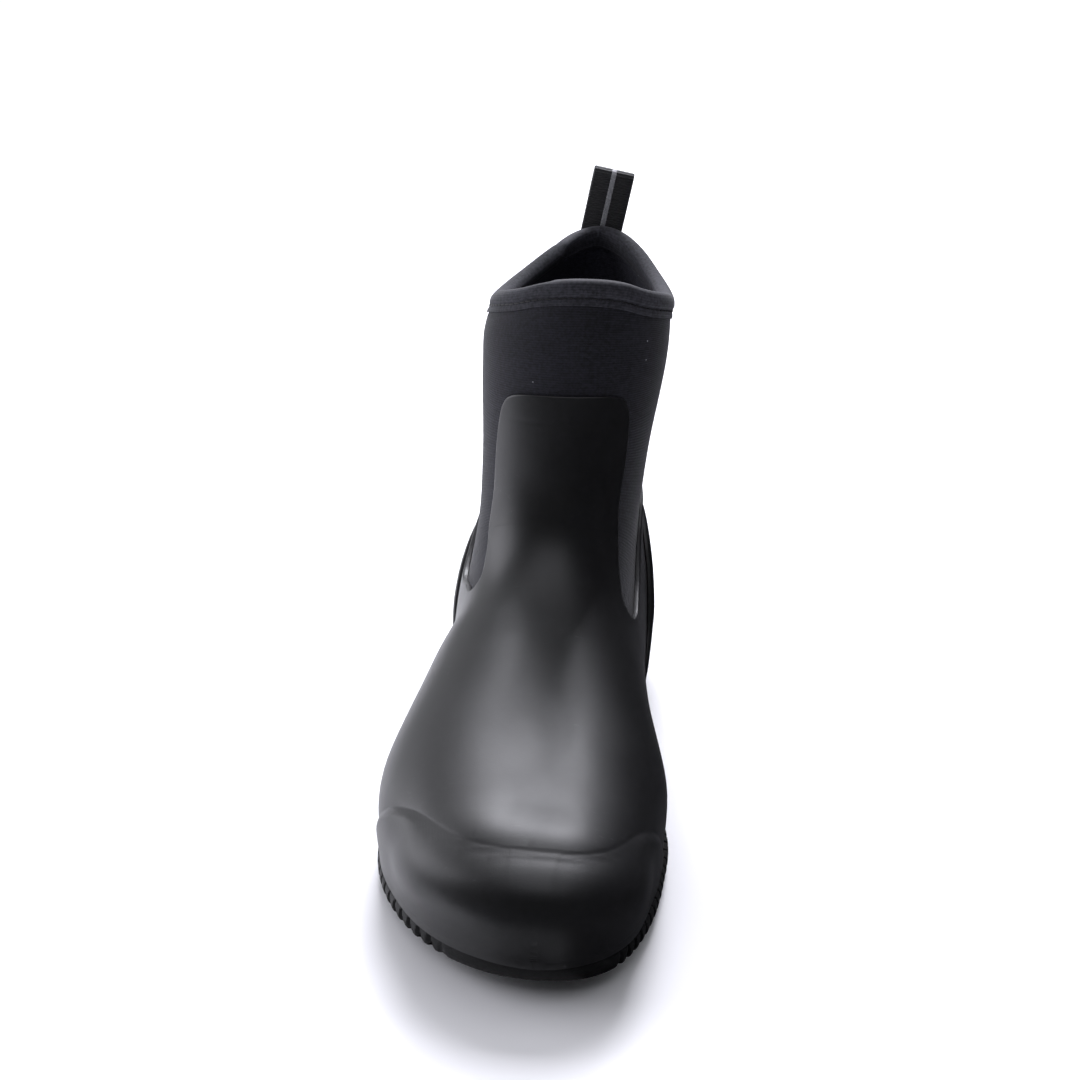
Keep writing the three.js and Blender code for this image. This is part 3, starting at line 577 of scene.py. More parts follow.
def line_distance(sheet, line, polygon, tilt=None):
    """Distance over the skin from the line, positive inside the polygon."""
    x, s, z = sheet.fields["point"].T
    flat = z.copy()
    for _ in range(TILT_ROUNDS):
        flat = z if tilt is None else z - tilt(s, flat) * x
    points = np.stack([s, flat], axis=1)
    a, b = line[:-1], line[1:]
    nearest = np.full(len(points), np.inf)
    toward = np.zeros_like(points)
    for start, end in zip(a, b):
        run = end - start
        t = np.clip(((points - start) @ run) / (run @ run), 0, 1)
        gap = points - start - t[:, None] * run
        far = np.linalg.norm(gap, axis=1)
        closer = far < nearest
        nearest = np.where(closer, far, nearest)
        toward[closer] = gap[closer]
    toward /= np.maximum(nearest, TINY)[:, None]
    facing = (toward * sheet.fields["normal"][:, 1:]).sum(axis=1)
    slant = np.sqrt(np.clip(1 - facing**2, STEEPEST, 1))
    sign = np.where(inside(points, polygon), 1, -1)
    return sign * nearest / slant


def from_edge(sheet, name):
    """Replaces a field by the true distance from its zero line, with the field's sign."""
    value = sheet.fields[name]
    faces = sheet.faces
    pairs = np.concatenate([faces[:, [0, 1]], faces[:, [1, 2]], faces[:, [2, 0]]])
    pairs = np.unique(np.sort(pairs[(value[pairs] == 0).all(axis=1)], axis=1), axis=0)
    points = sheet.fields["point"]
    nearest = np.full(len(points), np.inf)
    for start, end in points[pairs]:
        run = end - start
        t = np.clip(((points - start) @ run) / max(run @ run, TINY), 0, 1)
        gap = points - start - t[:, None] * run
        nearest = np.minimum(nearest, (gap * gap).sum(axis=1))
    sheet.fields[name] = np.sign(value) * np.sqrt(nearest)


print("edge lines are measured over the surface, snapped within", SNAP, "mm")

# %% [markdown]
# ## From millimetres to the frame
# The CAD model stands with its box centred on the origin. The outsole's own box says where the
# toe's tip went, so that one shift takes every point to its place. A piece is a mesh with
# smooth shading and sharp corners, told to ride on the boot and to stand for its CAD node.

# %% Pieces
MM = 0.001
OUTSOLE_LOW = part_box("outsole")[0]
EDGE_STATIONS = np.linspace(0, SOLE_LENGTH, 400)
EDGE_CENTRE, EDGE_HALF = plan(EDGE_STATIONS, 0)
SHIFT = np.array([OUTSOLE_LOW[0] / MM - (EDGE_CENTRE - EDGE_HALF).min(), OUTSOLE_LOW[1] / MM, 0])
SHARP = math.radians(48)


def to_frame(points):
    return (np.asarray(points, float) + SHIFT) * MM


def make_piece(name, points, faces, material, node, fields=None):
    """A mesh piece in the frame, from points in millimetres."""
    mesh = bpy.data.meshes.new(name)
    mesh.from_pydata(to_frame(points).tolist(), [], [list(face) for face in faces])
    for key, values in (fields or {}).items():
        layer = mesh.attributes.new(key, "FLOAT", "POINT")
        layer.data.foreach_set("value", np.asarray(values, np.float32))
    mesh.polygons.foreach_set("use_smooth", np.ones(len(mesh.polygons), bool))
    mesh.set_sharp_from_angle(angle=SHARP)
    mesh.validate()
    piece = bpy.data.objects.new(name, mesh)
    bpy.context.scene.collection.objects.link(piece)
    mesh.materials.append(material)
    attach(piece, "root")
    if node:
        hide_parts(node)
    print(name, len(points), "points,", len(faces), "faces")
    return piece


def thicken(sheet, inner, outer):
    """A closed wall between two distances from the skin, as points and triangles."""
    sheet.tidy()
    faces = sheet.faces
    count = len(sheet.fields["climb"])
    edges = np.concatenate([faces[:, [0, 1]], faces[:, [1, 2]], faces[:, [2, 0]]])
    code = edges[:, 0] * count + edges[:, 1]
    back = edges[:, 1] * count + edges[:, 0]
    p, q = edges[~np.isin(code, back)].T
    rim = [np.stack([q, p, p + count], 1), np.stack([q, p + count, q + count], 1)]
    points = np.concatenate([outer, inner])
    return points, np.concatenate([faces, faces[:, ::-1] + count] + rim)


def twice(values):
    return np.concatenate([values, values])


print("shift of the CAD frame, mm:", SHIFT.round(2))

# %% [markdown]
# ## Materials
# Each one begins from what the real one is. Colours are read off as hex values, the way a
# designer writes them, and turned to linear light by one function. One more function adds a
# shader node with its settings and links, so that a material reads as a short list.

# %% Helpers for materials


def colour(code):
    """Linear RGBA from an sRGB hex value."""
    parts = [int(code[i : i + 2], 16) / 255 for i in (1, 3, 5)]
    linear = [p / 12.92 if p <= 0.04045 else ((p + 0.055) / 1.055) ** 2.4 for p in parts]
    return (*linear, 1.0)


def add(material, kind, inputs=None, **settings):
    """Adds a node; an input is a value, or a socket to link."""
    tree = material.node_tree
    made = tree.nodes.new(kind)
    for name, value in settings.items():
        setattr(made, name, value)
    for name, value in (inputs or {}).items():
        if isinstance(value, bpy.types.NodeSocket):
            tree.links.new(value, made.inputs[name])
        else:
            made.inputs[name].default_value = value
    return made


def new_material(name):
    """An empty material with a Principled shader, and that shader."""
    material = bpy.data.materials.new(name)
    material.use_nodes = True
    material.node_tree.nodes.clear()
    shader = add(material, "ShaderNodeBsdfPrincipled")
    add(material, "ShaderNodeOutputMaterial", {"Surface": shader.outputs["BSDF"]})
    return material, shader


def link(material, source, shader, name):
    material.node_tree.links.new(source, shader.inputs[name])


def noise(material, size_mm, detail=2.0, stretch=(1, 1, 1)):
    """Noise whose features are about size_mm across, in the object's own space."""
    place = add(material, "ShaderNodeTexCoord").outputs["Object"]
    scaled = add(material, "ShaderNodeMapping", {"Vector": place, "Scale": stretch})
    inputs = {"Vector": scaled.outputs["Vector"], "Scale": 1 / (size_mm * MM), "Detail": detail}
    return add(material, "ShaderNodeTexNoise", inputs).outputs["Fac"]


def spread(material, value, low, high, to_low=0.0, to_high=1.0):
    """The value's stretch from low to high, laid out from to_low to to_high."""
    inputs = {"Value": value, "From Min": low, "From Max": high}
    inputs.update({"To Min": to_low, "To Max": to_high})
    return add(material, "ShaderNodeMapRange", inputs, clamp=True).outputs["Result"]


def blend(material, share, first, second):
    """A colour between two, by a share."""
    mixer = add(material, "ShaderNodeMix", data_type="RGBA")
    for socket, value in ((0, share), (6, first), (7, second)):
        if isinstance(value, bpy.types.NodeSocket):
            material.node_tree.links.new(value, mixer.inputs[socket])
        else:
            mixer.inputs[socket].default_value = value
    return mixer.outputs[2]


def field(material, name):
    return add(material, "ShaderNodeAttribute", attribute_name=name).outputs["Fac"]


def arithmetic(material, operation, first, second=0.0):
    made = add(material, "ShaderNodeMath", {0: first, 1: second}, operation=operation)
    return made.outputs["Value"]


def specks(material, spacing_mm, radius_mm, share):
    """Small round specks of lint or dust, one in some of the cells of a scattered pattern."""
    place = add(material, "ShaderNodeTexCoord").outputs["Object"]
    inputs = {"Vector": place, "Scale": 1 / (spacing_mm * MM)}
    cells = add(material, "ShaderNodeTexVoronoi", inputs)
    edge = radius_mm / spacing_mm
    round_spot = spread(material, cells.outputs["Distance"], edge * 0.6, edge, 1.0, 0.0)
    tone = add(material, "ShaderNodeSeparateColor", {"Color": cells.outputs["Color"]})
    chosen = arithmetic(material, "LESS_THAN", tone.outputs["Red"], share)
    return arithmetic(material, "MULTIPLY", round_spot, chosen)


def bump(material, height, depth_mm, under=None):
    inputs = {"Height": height, "Distance": depth_mm * MM, "Strength": 1.0}
    if under is not None:
        inputs["Normal"] = under
    return add(material, "ShaderNodeBump", inputs).outputs["Normal"]


print("helpers ready; black rubber #1b1b1d is linear", [round(v, 4) for v in colour("#1b1b1d")])

# %% [markdown]
# ### Moulded rubber
# The shell is natural rubber, pressed and vulcanised. Its face is satin: the mould's fine
# grain spreads a highlight widely, and a faint bloom of wax and dust greys it in patches.
# Handling leaves soft smudges, which change the gloss more than the colour, and fine scuffs
# that run across the foot.

# %% Shell rubber


MOULD_GRAIN = 0.55  # millimetres across the grain that the mould leaves
BLOOM_SIZE, MOTTLE_SIZE = 45, 3.5  # of the grey patches of wax, and the mottle in them
SMUDGE_SIZE, SCUFF_SIZE, RUBBED_SIZE = 16, 1.1, 22
DUST = (9.0, 0.3, 0.16)  # spacing and radius of the specks, and the share of cells with one
HAND_WAVE = 30  # the slight waviness of a pressed face


def moulded_rubber(name, dark, bloomed, roughness):
    material, shader = new_material(name)
    patches = spread(material, noise(material, BLOOM_SIZE, 3), 0.4, 0.7)
    mottle = spread(material, noise(material, MOTTLE_SIZE, 4), 0.45, 0.75, 0, 0.35)
    cover = arithmetic(material, "ADD", arithmetic(material, "MULTIPLY", patches, 0.5), mottle)
    base = blend(material, cover, colour(dark), colour(bloomed))
    dusted = blend(material, specks(material, *DUST), base, colour("#9a9a9c"))
    hairlines = spread(material, noise(material, SCUFF_SIZE, 2, (0.1, 1, 0.8)), 0.66, 0.76)
    rubbed = spread(material, noise(material, RUBBED_SIZE, 2), 0.5, 0.68, 0, 0.4)
    scuffs = arithmetic(material, "MULTIPLY", hairlines, rubbed)
    link(material, blend(material, scuffs, dusted, colour("#4a4a4c")), shader, "Base Color")
    smudge = noise(material, SMUDGE_SIZE, 4, (1, 0.6, 1))
    smudge = spread(material, smudge, 0.35, 0.7, roughness - 0.02, roughness + 0.03)
    link(material, smudge, shader, "Roughness")
    shader.inputs["IOR"].default_value = 1.52
    grain = bump(material, noise(material, MOULD_GRAIN, 3), 0.02)
    link(material, bump(material, noise(material, HAND_WAVE, 1), 0.02, grain), shader, "Normal")
    return material


SHELL_RUBBER = moulded_rubber("vulcanised_rubber_satin", "#0c0c0e", "#171719", 0.42)
COUNTER_RUBBER = moulded_rubber("vulcanised_rubber_counter", "#0b0b0d", "#151517", 0.31)
print("shell:", SHELL_RUBBER.name, "and", COUNTER_RUBBER.name)

# %% [markdown]
# ### Knit-faced neoprene
# Neoprene foam is black, and so is the nylon jersey glued to its face. The jersey's courses
# run round the shaft as fine ribs, near 1 mm apart, with a soft sheen where the nylon stands
# up. The sheet's climb field counts millimetres up the skin, so the ribs follow the collar.
# The lining is a greyer polyester jersey, drawn lighter still as painted light for the light
# that reaches inside; the binding is the same knit cut as tape.

# %% Neoprene
RIB_PITCH = 1.0  # millimetres between the courses of the jersey
WALE_PITCH = 0.8
FIBRE_SIZE = 1.3  # of the fuzz that breaks the ribs up; drawn coarser than real, so as to show
RIB_WANDER = (14, 0.5)  # the ribs stray over this length by this share of a millimetre
LINT = (6.5, 0.38, 0.28)


def knit_ribs(material, pitch):
    """A wave up the skin, 0 in the furrows and 1 on the courses."""
    length, share = RIB_WANDER
    wander = arithmetic(material, "MULTIPLY", noise(material, length, 2), share)
    climbed = arithmetic(material, "ADD", field(material, "climb"), wander)
    angle = arithmetic(material, "MULTIPLY", climbed, 2 * math.pi / pitch)
    return spread(material, arithmetic(material, "SINE", angle), -1, 1)


def jersey(name, dark, light, depth_mm, sheen=0.1):
    material, shader = new_material(name)
    ribs = knit_ribs(material, RIB_PITCH)
    loops = spread(material, noise(material, WALE_PITCH, 2), 0.3, 0.7)
    weave = arithmetic(material, "MULTIPLY", ribs, spread(material, loops, 0, 1, 0.35, 1))
    wear = spread(material, noise(material, 30, 3), 0.35, 0.7, 0, 0.3)
    fuzz = spread(material, noise(material, FIBRE_SIZE, 3), 0.36, 0.64, -0.1, 0.5)
    mixed = arithmetic(material, "ADD", arithmetic(material, "MULTIPLY", weave, 0.4), fuzz)
    cover = arithmetic(material, "ADD", mixed, wear)
    base = blend(material, cover, colour(dark), colour(light))
    linted = blend(material, specks(material, *LINT), base, colour("#86868c"))
    link(material, linted, shader, "Base Color")
    shader.inputs["Roughness"].default_value = 0.85
    shader.inputs["IOR"].default_value = 1.45
    shader.inputs["Sheen Weight"].default_value = sheen
    shader.inputs["Sheen Roughness"].default_value = 0.4
    link(material, bump(material, weave, depth_mm), shader, "Normal")
    return material


NEOPRENE_JERSEY = jersey("neoprene_nylon_jersey", "#0b0b11", "#1f1f29", 0.1)
# the lining's grey is partly its own and partly painted light for the dim inside of the boot
GREY_LINING_PAINTED_LIGHT = jersey("polyester_lining_painted_light", "#2a2a32", "#42424c", 0.1)
BINDING_JERSEY = jersey("binding_tape_jersey", "#17171c", "#35353d", 0.05, 0.08)
print("ribs every", RIB_PITCH, "mm")

# %% [markdown]
# The sole is a harder black compound, dull from the floor. The pull loop is ribbed nylon
# webbing with a grey reflective stripe, whose glass beads look like dull metal when the light
# is not behind the eye. Thread is polyester, and the insole wears a felt of black fibre.

# %% Sole rubber, webbing, stripe, thread and felt


def sole_compound():
    material, shader = new_material("carbon_black_sole_compound")
    dust = spread(material, noise(material, 5, 5), 0.5, 0.8)
    base = blend(material, dust, colour("#0b0b0c"), colour("#1c1c1c"))
    link(material, base, shader, "Base Color")
    link(material, spread(material, dust, 0, 1, 0.55, 0.8), shader, "Roughness")
    shader.inputs["IOR"].default_value = 1.5
    shader.inputs["Specular IOR Level"].default_value = 0.3
    link(material, bump(material, noise(material, 0.9, 4), 0.12), shader, "Normal")
    return material


WEB_RIB = 1.1  # millimetres between the webbing's cross ribs


def nylon_webbing():
    material, shader = new_material("ribbed_nylon_webbing")
    ribs = knit_ribs(material, WEB_RIB)
    loose = spread(material, noise(material, 1.2, 3), 0.3, 0.8, 0, 0.4)
    cover = arithmetic(material, "ADD", arithmetic(material, "MULTIPLY", ribs, 0.6), loose)
    base = blend(material, cover, colour("#0d0d0f"), colour("#222225"))
    link(material, base, shader, "Base Color")
    shader.inputs["Roughness"].default_value = 0.7
    shader.inputs["Sheen Weight"].default_value = 0.15
    link(material, bump(material, ribs, 0.2), shader, "Normal")
    return material


def reflective_tape():
    material, shader = new_material("glass_bead_reflective_tape")
    beads = spread(material, noise(material, 0.5, 2), 0.3, 0.7)
    base = blend(material, beads, colour("#77777b"), colour("#a5a5a9"))
    link(material, base, shader, "Base Color")
    shader.inputs["Metallic"].default_value = 0.35
    shader.inputs["Roughness"].default_value = 0.5
    link(material, bump(material, knit_ribs(material, WEB_RIB), 0.06), shader, "Normal")
    return material


def polyester_thread():
    material, shader = new_material("black_polyester_thread")
    twist = spread(material, noise(material, 0.4, 2), 0.3, 0.7)
    base = blend(material, twist, colour("#0c0c0e"), colour("#1d1d20"))
    link(material, base, shader, "Base Color")
    shader.inputs["Roughness"].default_value = 0.6
    return material


def fibre_felt():
    material, shader = new_material("black_fibre_felt")
    fibres = spread(material, noise(material, 0.8, 5), 0.3, 0.7)
    base = blend(material, fibres, colour("#17171a"), colour("#303035"))
    link(material, base, shader, "Base Color")
    shader.inputs["Roughness"].default_value = 0.95
    link(material, bump(material, fibres, 0.2), shader, "Normal")
    return material


SOLE_COMPOUND = sole_compound()
WEBBING_NYLON = nylon_webbing()
STRIPE_TAPE = reflective_tape()
THREAD = polyester_thread()
FELT = fibre_felt()
print("materials:", [material.name for material in bpy.data.materials])

# %% [markdown]
# ## The neoprene bootie
# The sock is a 4 mm wall along the whole skin. Only the shaft and the notches show. Foam under
# tension stays smooth, but it gives a little behind the ankle, where the boot bends when it
# is pulled on, so the outer face gets two soft hollows under a millimetre deep.

# %% Bootie
HOLLOWS = table(  # two slanting hollows behind the ankle, sizes in millimetres
    "slant height width depth",
    (0.25, 0.62 * COLLAR_HEIGHT, 5, 0.9),
    (0.35, 0.52 * COLLAR_HEIGHT, 4, 0.7),
)


def trough(values, middle, width):
    """1 in the middle, falling away softly on both sides."""
    return np.exp(-(((values - middle) / width) ** 2))


def shaft_creases(points):
    """Depth of the soft hollows in the shaft at each point of the skin."""
    station, z = points[:, 1], points[:, 2]
    behind = smooth(station, ANKLE_STATION, 0.86 * SOLE_LENGTH)
    depths = 0
    for slant, height, width, depth in zip(*HOLLOWS.values()):
        depths = depths + depth * trough(z + slant * (station - ANKLE_STATION), height, width)
    return depths * behind


bootie = Sheet()
bootie.tidy()
hollows = shaft_creases(bootie.fields["point"])
points, faces = thicken(bootie, bootie.offset(-NEOPRENE), bootie.offset(-hollows))
climb = {"climb": twice(bootie.fields["climb"])}
sock = make_piece("neoprene_sock", points, faces, NEOPRENE_JERSEY, "neoprene_bootie", climb)
sock.data.materials.append(GREY_LINING_PAINTED_LIGHT)
side = np.zeros(len(faces), np.int32)
side[len(bootie.faces) : 2 * len(bootie.faces)] = 1  # the inner faces come second
sock.data.polygons.foreach_set("material_index", side)

# %% [markdown]
# ## The rubber shell
# The shell is one moulding. Its edge runs level across the shin, down each side of the front
# panel, round the ankle notch and up the quarter to the heel. The rubber thins towards its
# edge and ends in a small rounding, which catches a thin line of light. Round the toe a guard
# stands 1.3 mm proud, with a crease along its line and a soft shoulder below.

# %% Shell
SHELL_EDGE = table(
    "at level",
    (0.545, 0.79),
    (0.572, 0.787),
    (0.588, 0.766),
    (0.597, 0.7),
    (0.601, 0.6),
    (0.592, 0.5),
    (0.565, 0.435),
    (0.538, 0.39),
    (0.542, 0.36),
    (0.575, 0.35),
    (0.625, 0.352),
    (0.655, 0.365),
    (0.68, 0.39),
    (0.705, 0.42),
    (0.75, 0.467),
    (0.82, 0.515),
    (0.96, 0.56),
)
GUARD_EDGE = table(
    "at level",
    (-0.1, 0.328),
    (0.03, 0.328),
    (0.047, 0.326),
    (0.056, 0.32),
    (0.066, 0.315),
    (0.082, 0.3115),
    (0.1, 0.3095),
    (0.12, 0.305),
    (0.136, 0.297),
    (0.152, 0.279),
    (0.168, 0.252),
    (0.19, 0.19),
    (0.215, 0.11),
    (0.24, 0.023),
)
GUARD_TILT = -0.055  # the guard stands higher on the lateral side
NOTCH_TILT = 0.15
NOTCH_BACK = (0.58, 0.12, 2.2)  # where the tilt turns round, over what run, by how much
PANEL_TOP = SHELL_EDGE["level"][0] * COLLAR_HEIGHT
NOTCH_BOTTOM = 0.35 * COLLAR_HEIGHT
GUARD_STEP = 1.3
FAR = 0.2 * SOLE_LENGTH
LINE_PIECES = 120


def notch_tilt(station, z):
    up = np.clip((z - NOTCH_BOTTOM) / (PANEL_TOP - NOTCH_BOTTOM), 0, 1)
    start, run, turn = NOTCH_BACK
    back = np.clip((station / SOLE_LENGTH - start) / run, 0, 1)
    return -NOTCH_TILT * (1 - up) * (1 - turn * back)


def guard_tilt(station, z):
    return np.full_like(z, GUARD_TILT)


def on_base(rows, base):
    """The same table with its levels made heights of the whole side view."""
    stations = rows["at"] * SOLE_LENGTH
    return {"at": rows["at"], "level": base(stations) + rows["level"] * INSTEP_HEIGHT}


def rounded(distance, radius):
    """A quarter round: 0 at the edge, 1 from radius inwards."""
    share = np.clip(distance / radius, 0, 1)
    return np.sqrt(1 - (1 - share) ** 2)


EDGE_ROUND = 0.7
EDGE_LIP = 0.15  # what is left of the wall at its very edge
EDGE_THICK = 0.95  # the wall just inside the rounding
THIN_ABOVE = (60, 120)  # between these heights the rubber thins to that wall

EDGE_LINES = (0.08, 0.2, 0.42, EDGE_ROUND, 1.3)  # where points are added for the rounding
GUARD_LINES = (-1.2, -0.7, -0.35, 0.35, 0.8, 1.4, 2.1, 2.9, 3.7)

edge = side_line(SHELL_EDGE, COLLAR_HEIGHT, LINE_PIECES)
back_end = SOLE_LENGTH + FAR
frame_points = [(back_end, edge[-1, 1]), (back_end, -FAR), (-FAR, -FAR), (-FAR, PANEL_TOP)]
shell_region = np.concatenate([edge, frame_points])
guard_line = side_line(on_base(GUARD_EDGE, sole_top), 1, LINE_PIECES)
guard_end = guard_line[-1]
guard_region = np.concatenate([guard_line, [(guard_end[0], -FAR), (-FAR, -FAR)]])

shell = Sheet()
shell.fields["edge"] = line_distance(shell, edge, shell_region, notch_tilt)
shell.trim("edge")
from_edge(shell, "edge")
for level in EDGE_LINES:
    shell.split("edge", level)
shell.fields["guard"] = line_distance(shell, guard_line, guard_region, guard_tilt)
shell.split("guard", 0)
from_edge(shell, "guard")
for level in GUARD_LINES:
    shell.split("guard", level)
shell.tidy()
print("shell:", len(shell.faces), "triangles before it gets its thickness")

# %% [markdown]
# How far the outer face lies from the skin is a sum of plain terms: the wall, which thins by
# height up the shin; the rounding at its cut edge; the guard's step, crease and full shoulder;
# the vamp, which fills out towards the guard; and the thick foot that laps down over the sole.
# Each term is a smooth step of one field, so they join without a seam.

# %% The shell's outer face
GUARD_FOOT = -0.6  # the step starts this far above the guard's line
GUARD_CREASE = (0.12, 0.8)  # depth and half width of the crease at the line
GUARD_RISE = (3.6, 12)  # the guard rises softly over this distance, at the sides and in front
GUARD_CROWN = 2.5  # in front it swells by this much more
CROWN_START, CROWN_AT, CROWN_END = 1, 15, 32  # distances below its line
SWELL_END = 46
GUARD_FRONT = (0.06 * SOLE_LENGTH, 0.14 * SOLE_LENGTH)
VAMP_SWELL = 1.8  # the vamp fills out towards the guard
VAMP_RUN = 42
SHELL_LIP = 2.8  # the shell's lower edge laps this far down over the sole
TUCK_UNDONE = 0.7  # share of the form's draw-in at the sole that the thick foot of the shell fills


def shell_outer(sheet):
    edge, guard = sheet.fields["edge"], sheet.fields["guard"]
    station, z = sheet.fields["point"][:, 1], sheet.fields["point"][:, 2]
    wall = RUBBER + (EDGE_THICK - RUBBER) * smooth(z, *THIN_ABOVE)
    thick = EDGE_LIP + (wall - EDGE_LIP) * rounded(edge, EDGE_ROUND)
    above = np.clip((z - sole_top(station)) / WIDEST_LIFT, 0, 1)
    foot = TUCK_UNDONE * FEATHER_PULL * (1 - above) ** 2
    front = 1 - smooth(station, *GUARD_FRONT)
    rise = GUARD_RISE[0] + (GUARD_RISE[1] - GUARD_RISE[0]) * front
    step = GUARD_STEP * smooth(guard, GUARD_FOOT, rise)
    depth, width = GUARD_CREASE
    crease = -depth * trough(guard, 0, width)
    crown = smooth(guard, CROWN_START, CROWN_AT) * (1 - smooth(guard, CROWN_AT, CROWN_END))
    swell = smooth(guard, -VAMP_RUN, 0) * (1 - smooth(guard, CROWN_AT, SWELL_END))
    fullness = (GUARD_CROWN * crown + VAMP_SWELL * swell) * front
    return GAP + thick + step + crease + fullness + foot


outer = shell.offset(shell_outer(shell))
on_line = shell.fields["sole"] > 1 - TINY
outer[on_line, 2] -= SHELL_LIP + GAP
points, faces = thicken(shell, shell.offset(GAP), outer)
make_piece("moulded_shell", points, faces, SHELL_RUBBER, "rubber_shell")

# %% [markdown]
# ## The heel counter
# A second moulding lies over the heel. Its upper rim stands out as a rounded kick rim, which
# the photograph shows as a dark glossy band at both sides of the ankle.

# %% Counter
COUNTER_EDGE = table(
    "at level",
    (0.62, -0.123),
    (0.667, 0.1),
    (0.705, 0.26),
    (0.74, 0.42),
    (0.775, 0.57),
    (0.82, 0.69),
    (0.87, 0.765),
    (0.94, 0.82),
    (1.1, 0.86),
)
COUNTER_TILT = 0.1
COUNTER_FOOT = 0.45 * INSTEP_HEIGHT  # the rim begins at this height
COUNTER_WALL = 1.6
COUNTER_LIP = 0.3  # what is left of the wall at its very edge
COUNTER_ROUND = 0.9
RIM_STEP = 1.1
RIM_WIDTH = 3.4
RIM_POWER = 2.6  # how full the rim's section is
RIM_FADE = (-8, 10)  # the rim comes up between these heights about COUNTER_FOOT
COUNTER_LINES = (0.08, 0.25, 0.6, 1.1, 1.7, 2.3, 2.8, 3.2, RIM_WIDTH, 4.0)
COUNTER_INNER = 2 * GAP + RUBBER

counter_line = side_line(on_base(COUNTER_EDGE, sole_top), 1, LINE_PIECES)
counter_ends = [(counter_line[-1, 0], -FAR), (counter_line[0, 0], -FAR)]
counter_region = np.concatenate([counter_line, counter_ends])


def counter_tilt(station, z):
    return COUNTER_TILT * np.clip((z - COUNTER_FOOT) / (NOTCH_BOTTOM - COUNTER_FOOT), 0, 1)


counter = Sheet()
counter.fields["edge"] = line_distance(counter, counter_line, counter_region, counter_tilt)
counter.trim("edge")
from_edge(counter, "edge")
for level in COUNTER_LINES:
    counter.split("edge", level)
counter.tidy()


def counter_outer(sheet):
    edge = sheet.fields["edge"]
    across = np.clip(edge / RIM_WIDTH, 0, 1) * 2 - 1
    bead = np.sqrt(np.clip(1 - np.abs(across) ** RIM_POWER, 0, 1))
    plate = COUNTER_LIP + (COUNTER_WALL - COUNTER_LIP) * rounded(edge, COUNTER_ROUND)
    rising = smooth(sheet.fields["point"][:, 2] - COUNTER_FOOT, *RIM_FADE)
    return COUNTER_INNER + plate + RIM_STEP * bead * rising


outer = counter.offset(counter_outer(counter))
points, faces = thicken(counter, counter.offset(COUNTER_INNER), outer)
make_piece("heel_counter_moulding", points, faces, COUNTER_RUBBER, "heel_counter")

# %% [markdown]
# ## The collar binding
# A strip of the same jersey is folded over the cut edge of the foam and sewn down. Its outer
# leg shows a rolled top, a stitched furrow, and below that the tape's own narrow second edge.
# The profile is drawn once, as distances out from the skin and heights above the collar edge,
# and carried round the top row of the skin.

# %% Binding
STITCH_DROP = -5.4
FURROW_OUT = 0.55
PROFILE_PIECES = 66
BINDING_PROFILE = table(
    "out up",
    (0.3, -8.2),
    (0.42, -8.4),
    (0.6, -8.0),
    (0.7, -7.0),
    (0.6, -6.4),
    (FURROW_OUT, -6.1),
    (FURROW_OUT, STITCH_DROP),
    (0.9, -4.6),
    (1.45, -3.9),
    (1.75, -2.6),
    (1.7, -0.9),
    (1.2, 0.55),
    (0.2, 1.5),
    (-1.6, 1.85),
    (-3.4, 1.65),
    (-4.9, 0.8),
    (-5.5, -0.8),
    (-5.5, -3.0),
    (-5.1, STITCH_DROP),
    (-5.2, -6.4),
    (-4.9, -7.2),
    (-4.4, -7.2),
)
INNER_CORNERS = [(-4.3, 0.3), (0.3, 0.3)]


def smooth_open(knots, pieces):
    """A smooth line through points, both ends kept."""
    t = np.linspace(0, len(knots) - 1, pieces + 1)
    keys = {"t": np.arange(len(knots), dtype=float)}
    columns = []
    for i in range(knots.shape[1]):
        keys["v"] = knots[:, i]
        columns.append(along(keys, "t", "v", t))
    return np.stack(columns, axis=1)


COLLAR_ROW = GRID[-1, :LAST]
COLLAR_OUT = NORMALS[-1, :LAST]
rise = GRID[-1, :LAST] - GRID[-3, :LAST]
COLLAR_UP = rise / np.linalg.norm(rise, axis=1, keepdims=True)


def round_collar(profile):
    """The profile's points carried round the collar, a row of them for each column."""
    out, up = profile[:, 0], profile[:, 1]
    across = COLLAR_OUT[:, None] * out[None, :, None]
    return COLLAR_ROW[:, None] + across + COLLAR_UP[:, None] * up[None, :, None]


def ring_faces(rings, size, closed=True):
    """Quads between rings of equal size."""
    faces = []
    for i in range(rings if closed else rings - 1):
        after = (i + 1) % rings
        for j in range(size):
            k = (j + 1) % size
            faces.append((i * size + j, i * size + k, after * size + k, after * size + j))
    return faces


profile = np.stack([BINDING_PROFILE["out"], BINDING_PROFILE["up"]], axis=1)
profile = np.concatenate([smooth_open(profile, PROFILE_PIECES), INNER_CORNERS])[::-1]
rings = round_collar(profile)
points = rings.reshape(-1, 3)
climb = np.tile(profile[:, 1], len(rings)) + CLIMB[-1]
faces = ring_faces(len(rings), len(profile))
fields = {"climb": climb}
make_piece("collar_tape", points, faces, BINDING_JERSEY, "collar_binding", fields)

# %% [markdown]
# ### Stitches
# A lockstitch shows as a row of short threads, each lying in its own small dent. Every stitch
# is a thin capsule along the furrow, about 2.2 mm long with a gap of 0.9 mm.

# %% Stitches
STITCH_LENGTH = 2.2
STITCH_SPACING = 3.1
THREAD_RADIUS = 0.26
THREAD_STANDS = 0.18  # the thread's middle above the furrow's floor
STITCH_STRAY = 0.1
END_RADIUS = 0.02  # the thread's ends close to this


